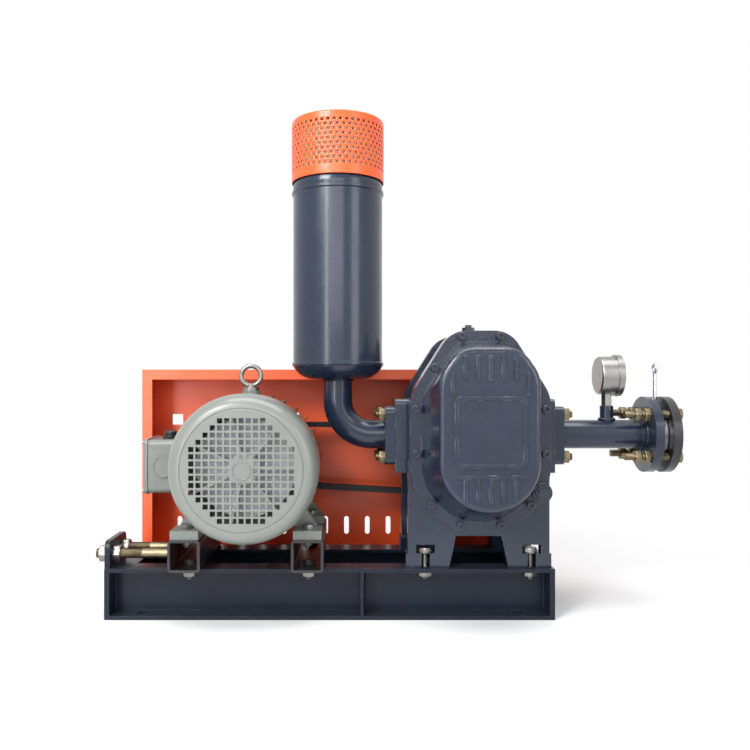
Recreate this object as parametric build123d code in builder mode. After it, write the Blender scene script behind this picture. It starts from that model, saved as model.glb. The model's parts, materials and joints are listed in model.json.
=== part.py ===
from build123d import *
import math
import os

os.makedirs("parts", exist_ok=True)

# Frame: X along the base, Y away from the gear cover towards the belts, Z up
# The origin is the centre of the underside of the base

# Base frame
base_height = 80
base_margin = 11
base_end_margin = 3
tension_room = 105
channel_flange = 42
channel_web = 5
channel_flange_thickness = 6
end_web = 8
stiffener_thickness = 5
stiffener_past_rail = 85
foundation_inset = 54
foundation_radius = 7

# Belt tension bracket and rods
bracket_rise = 43
bracket_depth = 96
bracket_inset = 2
bracket_corner = 12
rod_radius = 8
rod_rise = 20
rod_spacing = 52
rod_end_reach = 18
rod_nut_thickness = 13
rod_nut_across_flats = 24
nut_thickness = 10

# Motor rails
rail_size = 50
rail_wall = 4
rail_corner = 6
rail_overhang = 26
rail_slot_travel = 22
rail_bolt_radius = 5
rail_bolt_across_flats = 17

# Motor
shaft_height = 112
foot_spacing_x = 190
foot_spacing_y = 140
shoulder_past_foot = 70
foot_thickness = 14
foot_width = 44
foot_ahead = 23
foot_behind = 27
arm_behind = 10.5
arm_thickness = 16
frame_ahead_of_foot = 9
frame_length = 182
frame_wall = 18
stator_thickness = 22.4
fin_height = 13
fin_floor_gap = 1
fin_thickness = 3
fin_count = 28
shield_thickness = 14
cowl_lug_width = 18
cowl_lug_depth = 8
cowl_over_fins = 3
cowl_shoulder = 22
cowl_wall = 2
cowl_length = 84
cowl_hub_radius = 14
fan_tip_room = 24
fan_blades = 7
fan_blade_thickness = 3
fan_depth = 34
motor_shaft_radius = 14
motor_shaft_length = 60
motor_journal_radius = 15
motor_bearing_radius = 31
motor_bearing_width = 16
rotor_core_length = 108
air_gap = 0.6
box_width = 66
box_length = 100
box_height = 88
box_lid = 7
box_neck = 16
eye_ring_radius = 16
eye_wire_radius = 3.8
eye_collar_radius = 13
eye_behind_front = 41
box_behind_front = 106

# Blower
port_z = 286
rotor_centres = 112.5
lobes = 3
rotor_length = 127.4
rotor_end_gap = 0.3
rotor_tip_gap = 0.3
rotor_mesh_gap = 0.2
casing_wall = 13
plate_thickness = 20
port_face_reach = 130
port_boss_height = 120
port_boss_depth = 100
port_bore = 20.5
cover_half_width = 110
cover_top = 168
cover_shoulder_half = 46
cover_shoulder_z = 66
cover_arc_drop = 39
cover_top_fillet = 45
cover_side_fillet = 60
cover_flange_thickness = 18
cover_flange_width = 17.5
bulge_reach = 84
bulge_wall = 7
face_half_width = 73
face_top = 137.4
face_shoulder_half = 45
face_shoulder_z = 102.4
face_arc_drop = 29.4
face_fillet = 50
leg_half_width = 112
foot_inner = 47
foot_outer = 115
blower_foot_height = 22
blower_foot_depth = 32
blower_bolt_x = 84
blower_bolt_inset = 12
leg_gap_top = 36
leg_gap_height = 50

# Rotor shafts, bearings and timing gears
journal_radius = 17.5
rotor_bearing_radius = 31
rotor_bearing_width = 16
gear_module = 2.5
gear_width = 20
gear_backlash = 0.35
gear_gap_from_plate = 7
shaft_nut_thickness = 10
drive_shaft_radius = 14
cap_radius = 36
cap_depth = 10
seal_housing_depth = 24
seal_depth = 8

# Belt drive
motor_pitch_radius = 56
blower_pitch_radius = 66
groove_pitch = 15
groove_top = 13
groove_half_angle = 19
belt_height = 9
belt_above_pitch = 2.5
belt_side_gap = 0.35
pulley_edge = 10
pulley_gap = 14
pulley_past_shoulder = 7

# Suction side
pipe_motor_gap = 5.85
elbow_straight = 21
pipe_radius = 24.15
pipe_wall = 3.7
elbow_radius = 57
silencer_radius = 75
silencer_wall = 3
bead_rise = 2.2
bead_width = 8
neck_z = 377
body_bottom_z = 400
body_top_z = 694
shoulder_z = 724
cap_bottom_z = 707
cap_top_z = 809
filter_cap_radius = 77.5
filter_cap_wall = 1.5
intake_radius = 34
element_radius = 66
element_thickness = 20

# Port flanges
port_flange_size = 95
port_flange_thickness = 16
port_bolt_half = 35
bolt_m12 = 6
head_m12 = 8

# Discharge side
flange_radius = 63.5
flange_thickness = 14
flange_pcd = 98.4
flange_hole = 8
flange_bolt = 6.3
pipe_length = 144
gasket = 1.5
gasket_bore = 25.5
slip_on_bore = 24.75
valve_body_width = 12
valve_body_radius = 42
valve_seat_radius = 13.5
flap_radius = 15.5
flap_thickness = 2.5
flap_pivot_rise = 17
flap_pin_radius = 1.5
bolt_tail = 42
socket_before_flange = 60
socket_radius = 11
socket_top_z = 334
gauge_radius = 32
gauge_z = 385
gauge_depth = 28
gauge_behind_socket = 16
bezel_radius = 35
bezel_width = 9

# Belt guard
guard_past_motor = 214
guard_past_blower = 94
guard_below_base_top = 40
guard_above_port = 111
guard_depth = 90
guard_sheet = 2
guard_lip = 18
guard_window = 20
slot_count = 12
slot_length = 34
slot_width = 9
slot_pitch = 40
guard_bolt_pitch = 140

# Clearances
run_gap = 0.05
seat_gap = 0.05
hole_gap = 0.6

base_top = base_height
rail_top = base_top + rail_size
motor_z = rail_top + shaft_height
frame_radius = shaft_height - fin_height - fin_floor_gap
frame_bore = frame_radius - frame_wall
rotor_core_radius = frame_bore - stator_thickness - air_gap
fin_reach = frame_radius + fin_height
cowl_radius = fin_reach + cowl_over_fins
cowl_face_radius = cowl_radius - cowl_shoulder
fan_radius = cowl_radius - fan_tip_room

# Places along the base, from its left end to the outlet flange
elbow_offset = fin_reach + pipe_motor_gap + pipe_radius
blower_offset = elbow_radius + elbow_straight + port_flange_thickness + port_face_reach
left_room = foot_spacing_x / 2 + rail_size / 2 + tension_room
base_length = left_room + elbow_offset + blower_offset + foot_outer + base_end_margin
half_base = base_length / 2
motor_x = -half_base + left_room
silencer_x = motor_x + elbow_offset
blower_x = silencer_x + blower_offset
motor_left_rail = motor_x - foot_spacing_x / 2
motor_right_rail = motor_x + foot_spacing_x / 2
port_flange_left = blower_x - port_face_reach - port_flange_thickness
port_flange_right = blower_x + port_face_reach + port_flange_thickness
first_flange_x = port_flange_right + pipe_length
socket_x = first_flange_x - socket_before_flange
gauge_back_x = socket_x - gauge_behind_socket
valve_x = first_flange_x + flange_thickness + gasket
outlet_x = valve_x + valve_body_width + gasket
outlet_face_x = outlet_x + flange_thickness
stiffener_x = motor_right_rail + stiffener_past_rail
foundation_x = half_base - foundation_inset
guard_left = motor_x - guard_past_motor
guard_right = blower_x + guard_past_blower

# Places across the base, from the rotors out to the pulleys and back to the motor
casing_length = rotor_length + 2 * rotor_end_gap
casing_end = casing_length / 2
plate_end = casing_end + plate_thickness
base_depth = 2 * (plate_end + base_margin)
half_depth = base_depth / 2
flange_middle_y = half_depth - channel_flange / 2
foot_bolt_y = plate_end - blower_bolt_inset
pulley_front_y = plate_end + seal_housing_depth + pulley_gap
shoulder_y = pulley_front_y - pulley_past_shoulder
front_foot_y = shoulder_y - shoulder_past_foot - foot_spacing_y
frame_front_y = front_foot_y + frame_ahead_of_foot
frame_back_y = frame_front_y + frame_length
frame_middle_y = (frame_front_y + frame_back_y) / 2
cowl_front_y = frame_front_y - cowl_length
eye_y = frame_front_y + eye_behind_front
box_y = frame_front_y + box_behind_front
pulley_width = 2 * pulley_edge + groove_pitch
guard_front_y = half_depth

# Heights of the rotors and the guard
pitch_radius = rotor_centres / 2
rolling_radius = pitch_radius / (2 * lobes)
tip_radius = pitch_radius + 2 * rolling_radius
casing_bore = tip_radius + rotor_tip_gap
drive_z = port_z - pitch_radius
driven_z = port_z + pitch_radius
guard_bottom = base_top - guard_below_base_top
guard_top = port_z + guard_above_port


def front_plane(y, x=0, z=0):
    return Plane(origin=(x, y, z), x_dir=(1, 0, 0), z_dir=(0, -1, 0))


def side_plane(x, y=0, z=0):
    return Plane(origin=(x, y, z), x_dir=(0, 1, 0), z_dir=(1, 0, 0))


def finish(built, name):
    built.part.label = name
    export_step(built.part, "parts/" + name + ".step")


def rod(plane, radius, length):
    with BuildSketch(plane) as disc:
        Circle(radius)
    extrude(disc.sketch, amount=length)


def bore(plane, radius, length):
    with BuildSketch(plane) as disc:
        Circle(radius)
    extrude(disc.sketch, amount=length, mode=Mode.SUBTRACT)


def hexagon(plane, across_flats, length):
    with BuildSketch(plane) as six:
        RegularPolygon(across_flats / 2, 6, major_radius=False)
    extrude(six.sketch, amount=length)


def ring(plane, outer, inner, length):
    with BuildSketch(plane) as washer:
        Circle(outer)
        Circle(inner, mode=Mode.SUBTRACT)
    extrude(washer.sketch, amount=length)


def hex_nut(plane, across_flats, inner, length):
    with BuildSketch(plane) as nut_face:
        RegularPolygon(across_flats / 2, 6, major_radius=False)
        Circle(inner, mode=Mode.SUBTRACT)
    extrude(nut_face.sketch, amount=length)


# Base frame: channels round the edge, toes of the front one facing out
with BuildPart() as base_frame:
    Box(base_length, base_depth, base_height, align=(Align.CENTER, Align.CENTER, Align.MIN))
    inner_height = base_height - 2 * channel_flange_thickness
    inner_length = base_length - 2 * end_web
    front_web_y = -half_depth + channel_flange
    with Locations((0, -half_depth, channel_flange_thickness)):
        Box(inner_length, channel_flange - channel_web, inner_height,
            align=(Align.CENTER, Align.MIN, Align.MIN), mode=Mode.SUBTRACT)
    with Locations((0, front_web_y, channel_flange_thickness)):
        Box(inner_length, base_depth - channel_flange - channel_web, inner_height,
            align=(Align.CENTER, Align.MIN, Align.MIN), mode=Mode.SUBTRACT)
    well_length = base_length - 2 * channel_flange
    Box(well_length, base_depth - 2 * channel_flange, base_height,
        align=(Align.CENTER, Align.CENTER, Align.MIN), mode=Mode.SUBTRACT)
    with Locations((stiffener_x, -half_depth, channel_flange_thickness)):
        Box(stiffener_thickness, channel_flange - channel_web, inner_height,
            align=(Align.CENTER, Align.MIN, Align.MIN))
    bracket_middle_y = -half_depth + bracket_depth / 2 + bracket_inset
    with BuildSketch(side_plane(-half_base, bracket_middle_y, base_top)) as bracket:
        with BuildLine():
            Polyline((-bracket_depth / 2, -base_top / 2), (-bracket_depth / 2, bracket_rise),
                     (bracket_depth / 2, bracket_rise), (bracket_depth / 2, -base_top / 2),
                     close=True)
        make_face()
        fillet(bracket.vertices().group_by(Axis.Y)[-1], bracket_corner)
    extrude(amount=end_web)
    rod_z = base_top + rod_rise
    rod_y = [bracket_middle_y - rod_spacing / 2, bracket_middle_y + rod_spacing / 2]
    for y in rod_y:
        bore(side_plane(-half_base, y, rod_z), rod_radius + hole_gap, end_web)
    for x in (blower_x - blower_bolt_x, blower_x + blower_bolt_x):
        for y in (-foot_bolt_y, foot_bolt_y):
            bore(Plane((x, y, base_top - channel_flange_thickness)), bolt_m12 + hole_gap,
                 channel_flange_thickness)
    for x in (-foundation_x, foundation_x):
        for y in (-flange_middle_y, flange_middle_y):
            bore(Plane((x, y, 0)), foundation_radius, channel_flange_thickness)
    for x in (motor_left_rail, motor_right_rail):
        for y in (-flange_middle_y, flange_middle_y):
            with BuildSketch(Plane.XY.offset(base_top - channel_flange_thickness)):
                with Locations((x, y)):
                    SlotCenterToCenter(2 * rail_slot_travel, 2 * rail_bolt_radius + 1)
            extrude(amount=channel_flange_thickness, mode=Mode.SUBTRACT)
finish(base_frame, "base_frame")


# Motor rails: square tubes across the base with open ends
def motor_rail(x, name):
    with BuildPart() as rail:
        with BuildSketch(front_plane(half_depth, x, base_top + rail_size / 2)):
            RectangleRounded(rail_size, rail_size, rail_corner)
            RectangleRounded(rail_size - 2 * rail_wall, rail_size - 2 * rail_wall,
                             rail_corner - rail_wall, mode=Mode.SUBTRACT)
        extrude(amount=base_depth + rail_overhang)
        for y in (front_foot_y, front_foot_y + foot_spacing_y):
            bore(Plane((x, y, rail_top - rail_wall)), rail_bolt_radius + hole_gap, rail_wall)
        for y in (-flange_middle_y, flange_middle_y):
            bore(Plane((x, y, base_top)), rail_bolt_radius + hole_gap, rail_wall)
    finish(rail, name)


motor_rail(motor_left_rail, "left_motor_rail")
motor_rail(motor_right_rail, "right_motor_rail")

with BuildPart() as rail_clamp_bolts:
    clamp_washer = 2
    clamp_nut = 8
    washer_bottom = base_top - channel_flange_thickness - clamp_washer
    shank_bottom = washer_bottom - clamp_nut - 4
    for x in (motor_left_rail, motor_right_rail):
        for y in (-flange_middle_y, flange_middle_y):
            hexagon(Plane((x, y, base_top + rail_wall)), rail_bolt_across_flats, 7)
            rod(Plane((x, y, shank_bottom)), rail_bolt_radius,
                base_top + rail_wall - shank_bottom)
            hexagon(Plane((x, y, washer_bottom - clamp_nut)), rail_bolt_across_flats, clamp_nut)
            rod(Plane((x, y, washer_bottom)), 2 * rail_bolt_radius, clamp_washer)
finish(rail_clamp_bolts, "rail_clamp_bolts")

# Belt tension rods: welded to the left rail, held by nuts on both sides of the bracket
with BuildPart() as tension_rods:
    rod_start_x = -half_base - rod_end_reach
    rail_side_x = motor_left_rail - rail_size / 2
    for y in rod_y:
        rod(side_plane(rod_start_x, y, rod_z), rod_radius, rail_side_x - rod_start_x)
finish(tension_rods, "tension_rods")

with BuildPart() as tension_nuts:
    for y in rod_y:
        for x in (-half_base - rod_nut_thickness, -half_base + end_web):
            hex_nut(side_plane(x, y, rod_z), rod_nut_across_flats, rod_radius + run_gap,
                    rod_nut_thickness)
finish(tension_nuts, "tension_nuts")

# Motor frame: finned barrel with cast feet and a lifting boss
foot_hole_y = (front_foot_y, front_foot_y + foot_spacing_y)
boss_top = frame_radius + 20
arm_reach = frame_radius - 3
arm_high = math.radians(32)
arm_low = math.radians(55.5)
with BuildPart() as motor_frame:
    rod(front_plane(frame_back_y, motor_x, motor_z), frame_radius, frame_back_y - frame_front_y)
    with BuildSketch(front_plane(frame_back_y - 8, motor_x, motor_z)):
        with PolarLocations(frame_radius + fin_height / 2 - 1, fin_count):
            Rectangle(fin_height + 2, fin_thickness)
    extrude(amount=frame_back_y - frame_front_y - 8)
    for y in foot_hole_y:
        for side in (-1, 1):
            foot_inner_x = side * (foot_spacing_x / 2 - foot_width / 2)
            foot_outer_x = side * (foot_spacing_x / 2 + foot_width / 2)
            with BuildSketch(front_plane(y + foot_behind, motor_x, motor_z)):
                with BuildLine():
                    Polyline((foot_inner_x, -shaft_height), (foot_outer_x, -shaft_height),
                             (foot_outer_x, foot_thickness - shaft_height),
                             (foot_inner_x, foot_thickness - shaft_height), close=True)
                make_face()
            extrude(amount=foot_ahead + foot_behind)
            with BuildSketch(front_plane(y + arm_behind + arm_thickness, motor_x, motor_z)):
                with BuildLine():
                    Polyline((foot_inner_x + side * 4, foot_thickness - shaft_height - 1),
                             (foot_outer_x - side * 6, foot_thickness - shaft_height - 1),
                             (side * arm_reach * math.cos(arm_high), -arm_reach * math.sin(arm_high)),
                             (side * arm_reach * math.cos(arm_low), -arm_reach * math.sin(arm_low)),
                             close=True)
                make_face()
            extrude(amount=arm_thickness)
            x = motor_x + side * foot_spacing_x / 2
            bore(Plane((x, y, rail_top)), 6, foot_thickness + 40)
    rod(Plane((motor_x, eye_y, motor_z + frame_radius - 10)), 15, 30)
    bore(Plane((motor_x, eye_y, motor_z + frame_radius)), 5 + seat_gap, 20)
    box_face_x = motor_x - frame_radius - box_neck
    box_z = motor_z - 8
    with BuildSketch(side_plane(box_face_x, box_y, box_z)):
        RectangleRounded(box_length - 24, box_height - 20, 8)
    extrude(amount=box_neck + 12)
    bore(front_plane(frame_back_y, motor_x, motor_z), frame_bore, frame_back_y - frame_front_y)
finish(motor_frame, "motor_frame")

with BuildPart() as stator:
    stator_inner = rotor_core_radius + air_gap
    ring(front_plane(frame_middle_y + rotor_core_length / 2, motor_x, motor_z), frame_bore - seat_gap,
         stator_inner, rotor_core_length)
finish(stator, "stator")


# Motor end shields carry the two bearings
def end_shield(name, y_back, spigot_y):
    with BuildPart() as shield:
        rod(front_plane(y_back, motor_x, motor_z), frame_radius - 2, shield_thickness)
        rod(front_plane(spigot_y, motor_x, motor_z), motor_bearing_radius + 8, motor_bearing_width)
        if name == "fan_end_shield":
            with BuildSketch(front_plane(y_back - 6, motor_x, motor_z)):
                lug_foot = frame_radius - 6
                with PolarLocations((lug_foot + cowl_radius) / 2, 4, start_angle=45):
                    Rectangle(cowl_radius - lug_foot, cowl_lug_width)
                Circle(cowl_radius - cowl_wall - seat_gap, mode=Mode.INTERSECT)
            extrude(amount=cowl_lug_depth)
        bore(front_plane(y_back + 60, motor_x, motor_z), motor_bearing_radius + seat_gap, 120)
    finish(shield, name)


front_shield_y = frame_front_y
back_shield_y = frame_back_y + shield_thickness
end_shield("fan_end_shield", front_shield_y, front_shield_y + motor_bearing_width - 4)
end_shield("drive_end_shield", back_shield_y, back_shield_y + 3)

with BuildPart() as motor_bearings:
    for y in (front_shield_y + motor_bearing_width - 4, back_shield_y + 2):
        ring(front_plane(y, motor_x, motor_z), motor_bearing_radius,
             motor_journal_radius + run_gap, motor_bearing_width)
finish(motor_bearings, "motor_bearings")

# Motor rotor: stepped shaft with the rotor core
fan_back_y = front_shield_y - shield_thickness - 10
with BuildPart() as motor_shaft:
    journal_front = fan_back_y + 4
    rod(front_plane(shoulder_y, motor_x, motor_z), motor_journal_radius,
        shoulder_y - journal_front)
    rod(front_plane(shoulder_y + motor_shaft_length, motor_x, motor_z), motor_shaft_radius,
        motor_shaft_length)
    rod(front_plane(journal_front, motor_x, motor_z), motor_shaft_radius - 2, fan_depth + 12)
    rod(front_plane(frame_middle_y + rotor_core_length / 2, motor_x, motor_z), rotor_core_radius,
        rotor_core_length)
finish(motor_shaft, "motor_shaft")

# Cooling fan: hub, back disc and straight blades
with BuildPart() as cooling_fan:
    rod(front_plane(fan_back_y, motor_x, motor_z), 24, fan_depth)
    rod(front_plane(fan_back_y, motor_x, motor_z), fan_radius - 12, fan_blade_thickness)
    with BuildSketch(front_plane(fan_back_y, motor_x, motor_z)):
        with PolarLocations(22 + (fan_radius - 22) / 2, fan_blades):
            Rectangle(fan_radius - 22, fan_blade_thickness)
    extrude(amount=fan_depth - 4)
    bore(front_plane(fan_back_y + 1, motor_x, motor_z), motor_shaft_radius - 2 + seat_gap,
         fan_depth + 2)
finish(cooling_fan, "cooling_fan")

# Fan cowl: pressed cover with a rounded shoulder and a flat face
with BuildPart() as fan_cowl:
    cowl_back_y = frame_front_y - 6
    shoulder_start = cowl_front_y + 30
    with BuildSketch(Plane.XY) as cowl_section:
        with BuildLine():
            shoulder_depth = shoulder_start - cowl_front_y
            Line((0, cowl_front_y), (cowl_face_radius, cowl_front_y))
            EllipticalCenterArc((cowl_face_radius, shoulder_start), cowl_shoulder,
                                shoulder_depth, start_angle=270, arc_size=90)
            Polyline((cowl_radius, shoulder_start), (cowl_radius, cowl_back_y),
                     (cowl_radius - cowl_wall, cowl_back_y),
                     (cowl_radius - cowl_wall, shoulder_start))
            EllipticalCenterArc((cowl_face_radius, shoulder_start), cowl_shoulder - cowl_wall,
                                shoulder_depth - cowl_wall, start_angle=270,
                                arc_size=90)
            Polyline((cowl_face_radius, cowl_front_y + cowl_wall), (0, cowl_front_y + cowl_wall),
                     (0, cowl_front_y))
        make_face()
    revolve(axis=Axis.Y)
    ring(Plane(origin=(0, cowl_front_y, 0), x_dir=(1, 0, 0), z_dir=(0, -1, 0)),
         cowl_hub_radius, cowl_hub_radius - 3, 1.5)
fan_cowl.part = fan_cowl.part.moved(Location((motor_x, 0, motor_z)))
finish(fan_cowl, "fan_cowl")

# Terminal box on the left flank, with its lid
box_right_x = box_face_x
box_left_x = box_right_x - box_width + box_lid
with BuildPart() as terminal_box:
    with BuildSketch(side_plane(box_left_x, box_y, box_z)):
        RectangleRounded(box_length, box_height, 8)
    extrude(amount=box_right_x - box_left_x)
    with BuildSketch(side_plane(box_left_x, box_y, box_z)):
        RectangleRounded(box_length - 8, box_height - 8, 5)
    extrude(amount=box_right_x - box_left_x - 4, mode=Mode.SUBTRACT)
    rod(front_plane(box_y - box_length / 2, box_left_x + box_width / 2 - 6, box_z), 17, 3)
finish(terminal_box, "terminal_box")

with BuildPart() as terminal_box_lid:
    with BuildSketch(side_plane(box_left_x - box_lid, box_y, box_z)):
        RectangleRounded(box_length + 4, box_height + 4, 9)
    extrude(amount=box_lid)
    fillet(terminal_box_lid.faces().sort_by(Axis.X)[0].edges(), 3)
finish(terminal_box_lid, "terminal_box_lid")

# Lifting eye bolt on the motor
with BuildPart() as motor_eye_bolt:
    eye_base_z = motor_z + boss_top
    ring_centre_z = eye_base_z + 8 + eye_ring_radius
    rod(Plane((motor_x, eye_y, eye_base_z)), eye_collar_radius, 5)
    rod(Plane((motor_x, eye_y, eye_base_z)), 6, 10)
    rod(Plane((motor_x, eye_y, eye_base_z - 18)), 5, 18)
    with Locations(Location((motor_x, eye_y, ring_centre_z), (90, 0, 0))):
        Torus(eye_ring_radius, eye_wire_radius)
finish(motor_eye_bolt, "motor_eye_bolt")

with BuildPart() as motor_foot_bolts:
    foot_top = rail_top + foot_thickness
    for x in (motor_left_rail, motor_right_rail):
        for y in foot_hole_y:
            hexagon(Plane((x, y, foot_top)), 16, 6.5)
            rod(Plane((x, y, rail_top - rail_wall - 12)), 5, foot_thickness + rail_wall + 12)
            hexagon(Plane((x, y, rail_top - rail_wall - 8)), 16, 8)
finish(motor_foot_bolts, "motor_foot_bolts")

# Blower casing: two overlapping bores opened to a port on each side
with BuildPart() as blower_casing:
    casing_plane = front_plane(casing_end, blower_x, port_z)
    outer_radius = casing_bore + casing_wall
    with BuildSketch(casing_plane):
        Rectangle(2 * outer_radius, rotor_centres)
        with Locations((0, -pitch_radius), (0, pitch_radius)):
            Circle(outer_radius)
    extrude(amount=casing_length)
    with Locations((blower_x, 0, port_z)):
        Box(2 * port_face_reach, port_boss_depth, port_boss_height)
    fillet(blower_casing.edges().filter_by(Axis.X).group_by(Axis.Z)[-1], 8)
    with BuildSketch(casing_plane):
        with Locations((0, -pitch_radius), (0, pitch_radius)):
            Circle(casing_bore)
    extrude(amount=casing_length, mode=Mode.SUBTRACT)
    window_reach = outer_radius + 12
    with Locations((blower_x, 0, port_z)):
        Box(2 * window_reach, 70, 56, mode=Mode.SUBTRACT)
    bore(side_plane(blower_x - port_face_reach, 0, port_z), port_bore, 2 * port_face_reach)
finish(blower_casing, "blower_casing")


rim_shape = (cover_half_width, cover_top, cover_shoulder_half, cover_shoulder_z,
             cover_arc_drop, cover_top_fillet, cover_side_fillet)
face_shape = (face_half_width, face_top, face_shoulder_half, face_shoulder_z,
              face_arc_drop, face_fillet, face_fillet)


# Outline with sloping shoulders and a round foot, drawn a given inset inside its shape
def cover_outline(shape, inset):
    side, top, half, shoulder_z, drop, top_fillet, side_fillet = shape
    slope = math.hypot(side - half, top - shoulder_z)
    across = (top - shoulder_z) / slope
    upward = (side - half) / slope
    reach = across * half + upward * top - inset
    side -= inset
    top -= inset
    half = (reach - upward * top) / across
    shoulder_z = (reach - across * side) / upward
    with BuildLine() as edge:
        Polyline((-side, -drop), (-side, shoulder_z), (-half, top), (half, top),
                 (side, shoulder_z), (side, -drop))
        ThreePointArc((side, -drop), (0, -drop - side), (-side, -drop))
    make_face(edge.edges())
    sketch = BuildSketch._get_context()
    fillet(sketch.vertices().group_by(Axis.Y)[-1], top_fillet - inset)
    fillet([v for v in sketch.vertices() if abs(v.Y - shoulder_z) < 0.01], side_fillet - inset)


# End plates: cast heads with legs and slotted feet that carry the shafts
def end_plate(name, y_outer, inward):
    with BuildPart() as plate:
        outline_y = max(y_outer, y_outer + inward * plate_thickness)
        with BuildSketch(front_plane(outline_y, blower_x, port_z)):
            cover_outline(rim_shape, 0)
            leg_bottom = base_top - port_z
            with BuildLine():
                Polyline((-leg_half_width, leg_bottom), (-leg_half_width, -cover_arc_drop),
                         (leg_half_width, -cover_arc_drop), (leg_half_width, leg_bottom),
                         close=True)
            make_face()
            with BuildLine():
                Polyline((-foot_inner, leg_bottom - 1),
                         (-leg_gap_top, leg_bottom + leg_gap_height),
                         (leg_gap_top, leg_bottom + leg_gap_height),
                         (foot_inner, leg_bottom - 1), close=True)
            make_face(mode=Mode.SUBTRACT)
        extrude(amount=plate_thickness)
        foot_y = y_outer + inward * blower_foot_depth / 2
        for side in (-1, 1):
            foot_x = blower_x + side * (foot_inner + foot_outer) / 2
            with Locations((foot_x, foot_y, base_top)):
                Box(foot_outer - foot_inner, blower_foot_depth, blower_foot_height,
                    align=(Align.CENTER, Align.CENTER, Align.MIN))
            slot_y = y_outer + inward * (blower_bolt_inset / 2)
            bolt_x = blower_x + side * blower_bolt_x
            with Locations((bolt_x, y_outer + inward * blower_bolt_inset, base_top)):
                Cylinder(bolt_m12 + hole_gap, blower_foot_height,
                         align=(Align.CENTER, Align.CENTER, Align.MIN), mode=Mode.SUBTRACT)
            with Locations((bolt_x, slot_y, base_top)):
                Box(2 * (bolt_m12 + hole_gap), blower_bolt_inset, blower_foot_height,
                    align=(Align.CENTER, Align.CENTER, Align.MIN), mode=Mode.SUBTRACT)
            with Locations((bolt_x, y_outer + inward * plate_thickness / 2,
                            base_top + blower_foot_height)):
                Box(30, plate_thickness, 14, mode=Mode.SUBTRACT,
                    align=(Align.CENTER, Align.CENTER, Align.MIN))
        for z in (drive_z, driven_z):
            bore(front_plane(plate_end + 1, blower_x, z), journal_radius + 1, 2 * plate_end + 2)
            seat_y = max(y_outer, y_outer + inward * rotor_bearing_width)
            bore(front_plane(seat_y, blower_x, z), rotor_bearing_radius + seat_gap,
                 rotor_bearing_width)
    finish(plate, name)


end_plate("gear_end_plate", -plate_end, 1)
end_plate("drive_end_plate", plate_end, -1)

with BuildPart() as rotor_bearings:
    for z in (drive_z, driven_z):
        for y in (-plate_end + rotor_bearing_width, plate_end):
            ring(front_plane(y, blower_x, z), rotor_bearing_radius, journal_radius + run_gap,
                 rotor_bearing_width)
finish(rotor_bearings, "rotor_bearings")


# Rotor outline: epicycloid lobes and hypocycloid valleys on one pitch circle
def lobe_point(angle, outside):
    sign = 1 if outside else -1
    carrier = pitch_radius + sign * rolling_radius
    turns = carrier / rolling_radius
    x = carrier * math.cos(angle) + sign * rolling_radius * math.cos(turns * angle)
    y = carrier * math.sin(angle) + rolling_radius * math.sin(turns * angle)
    from_pitch_x = x - pitch_radius * math.cos(angle)
    from_pitch_y = y - pitch_radius * math.sin(angle)
    shift = sign * rotor_mesh_gap / math.hypot(from_pitch_x, from_pitch_y)
    return x - shift * from_pitch_x, y - shift * from_pitch_y


def turned(point, degrees):
    angle = math.radians(degrees)
    x = point[0] * math.cos(angle) - point[1] * math.sin(angle)
    y = point[0] * math.sin(angle) + point[1] * math.cos(angle)
    return x, y


def rotor_points():
    half = 180 / lobes / 2
    steps = 4
    reach = half * 0.9
    points = []
    for lobe in range(lobes):
        middle = 90 + lobe * 360 / lobes
        for i in range(-steps, steps + 1):
            local = lobe_point(math.radians(reach * i / steps), True)
            points.append(turned(local, middle))
        for i in range(-steps, steps + 1):
            local = lobe_point(math.radians(reach * i / steps), False)
            points.append(turned(local, middle + 2 * half))
    return points


def rotor(name, z, front_end, back_end):
    with BuildPart() as turning:
        with BuildSketch(front_plane(rotor_length / 2, blower_x, z)):
            with BuildLine():
                Spline(*rotor_points(), periodic=True)
            make_face()
        extrude(amount=rotor_length)
        rod(front_plane(back_end, blower_x, z), journal_radius, back_end - front_end)
        if name == "drive_rotor":
            nose = pulley_front_y + pulley_width + 8
            rod(front_plane(nose, blower_x, z), drive_shaft_radius, nose - back_end)
    finish(turning, name)


gear_front_y = -plate_end - gear_gap_from_plate - gear_width
shaft_front_y = gear_front_y - shaft_nut_thickness - 4
rotor("drive_rotor", drive_z, shaft_front_y, plate_end + seal_housing_depth)
rotor("driven_rotor", driven_z, shaft_front_y, plate_end + 2)


# Timing gears: involute spur gears on the rotor centre distance
def involute(base_radius, radius):
    spread = math.sqrt((radius / base_radius) ** 2 - 1)
    return spread - math.atan(spread)


def gear_points(start_degrees):
    teeth = round(rotor_centres / gear_module)
    base_radius = pitch_radius * math.cos(math.radians(20))
    tip = pitch_radius + 0.9 * gear_module
    root = pitch_radius - 1.2 * gear_module
    half_tooth = math.pi / 2 / teeth - gear_backlash / 2 / pitch_radius
    at_pitch = involute(base_radius, pitch_radius)
    flank = [base_radius + 0.1, pitch_radius, tip]
    points = []
    for tooth in range(teeth):
        middle = math.radians(start_degrees) + tooth * 2 * math.pi / teeth
        half_angles = [half_tooth + at_pitch - involute(base_radius, r) for r in flank]
        points.append((root, middle - half_angles[0]))
        points += [(r, middle - a) for r, a in zip(flank, half_angles)]
        points += [(r, middle + a) for r, a in reversed(list(zip(flank, half_angles)))]
        points.append((root, middle + half_angles[0]))
    return [(r * math.cos(a), r * math.sin(a)) for r, a in points]


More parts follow.
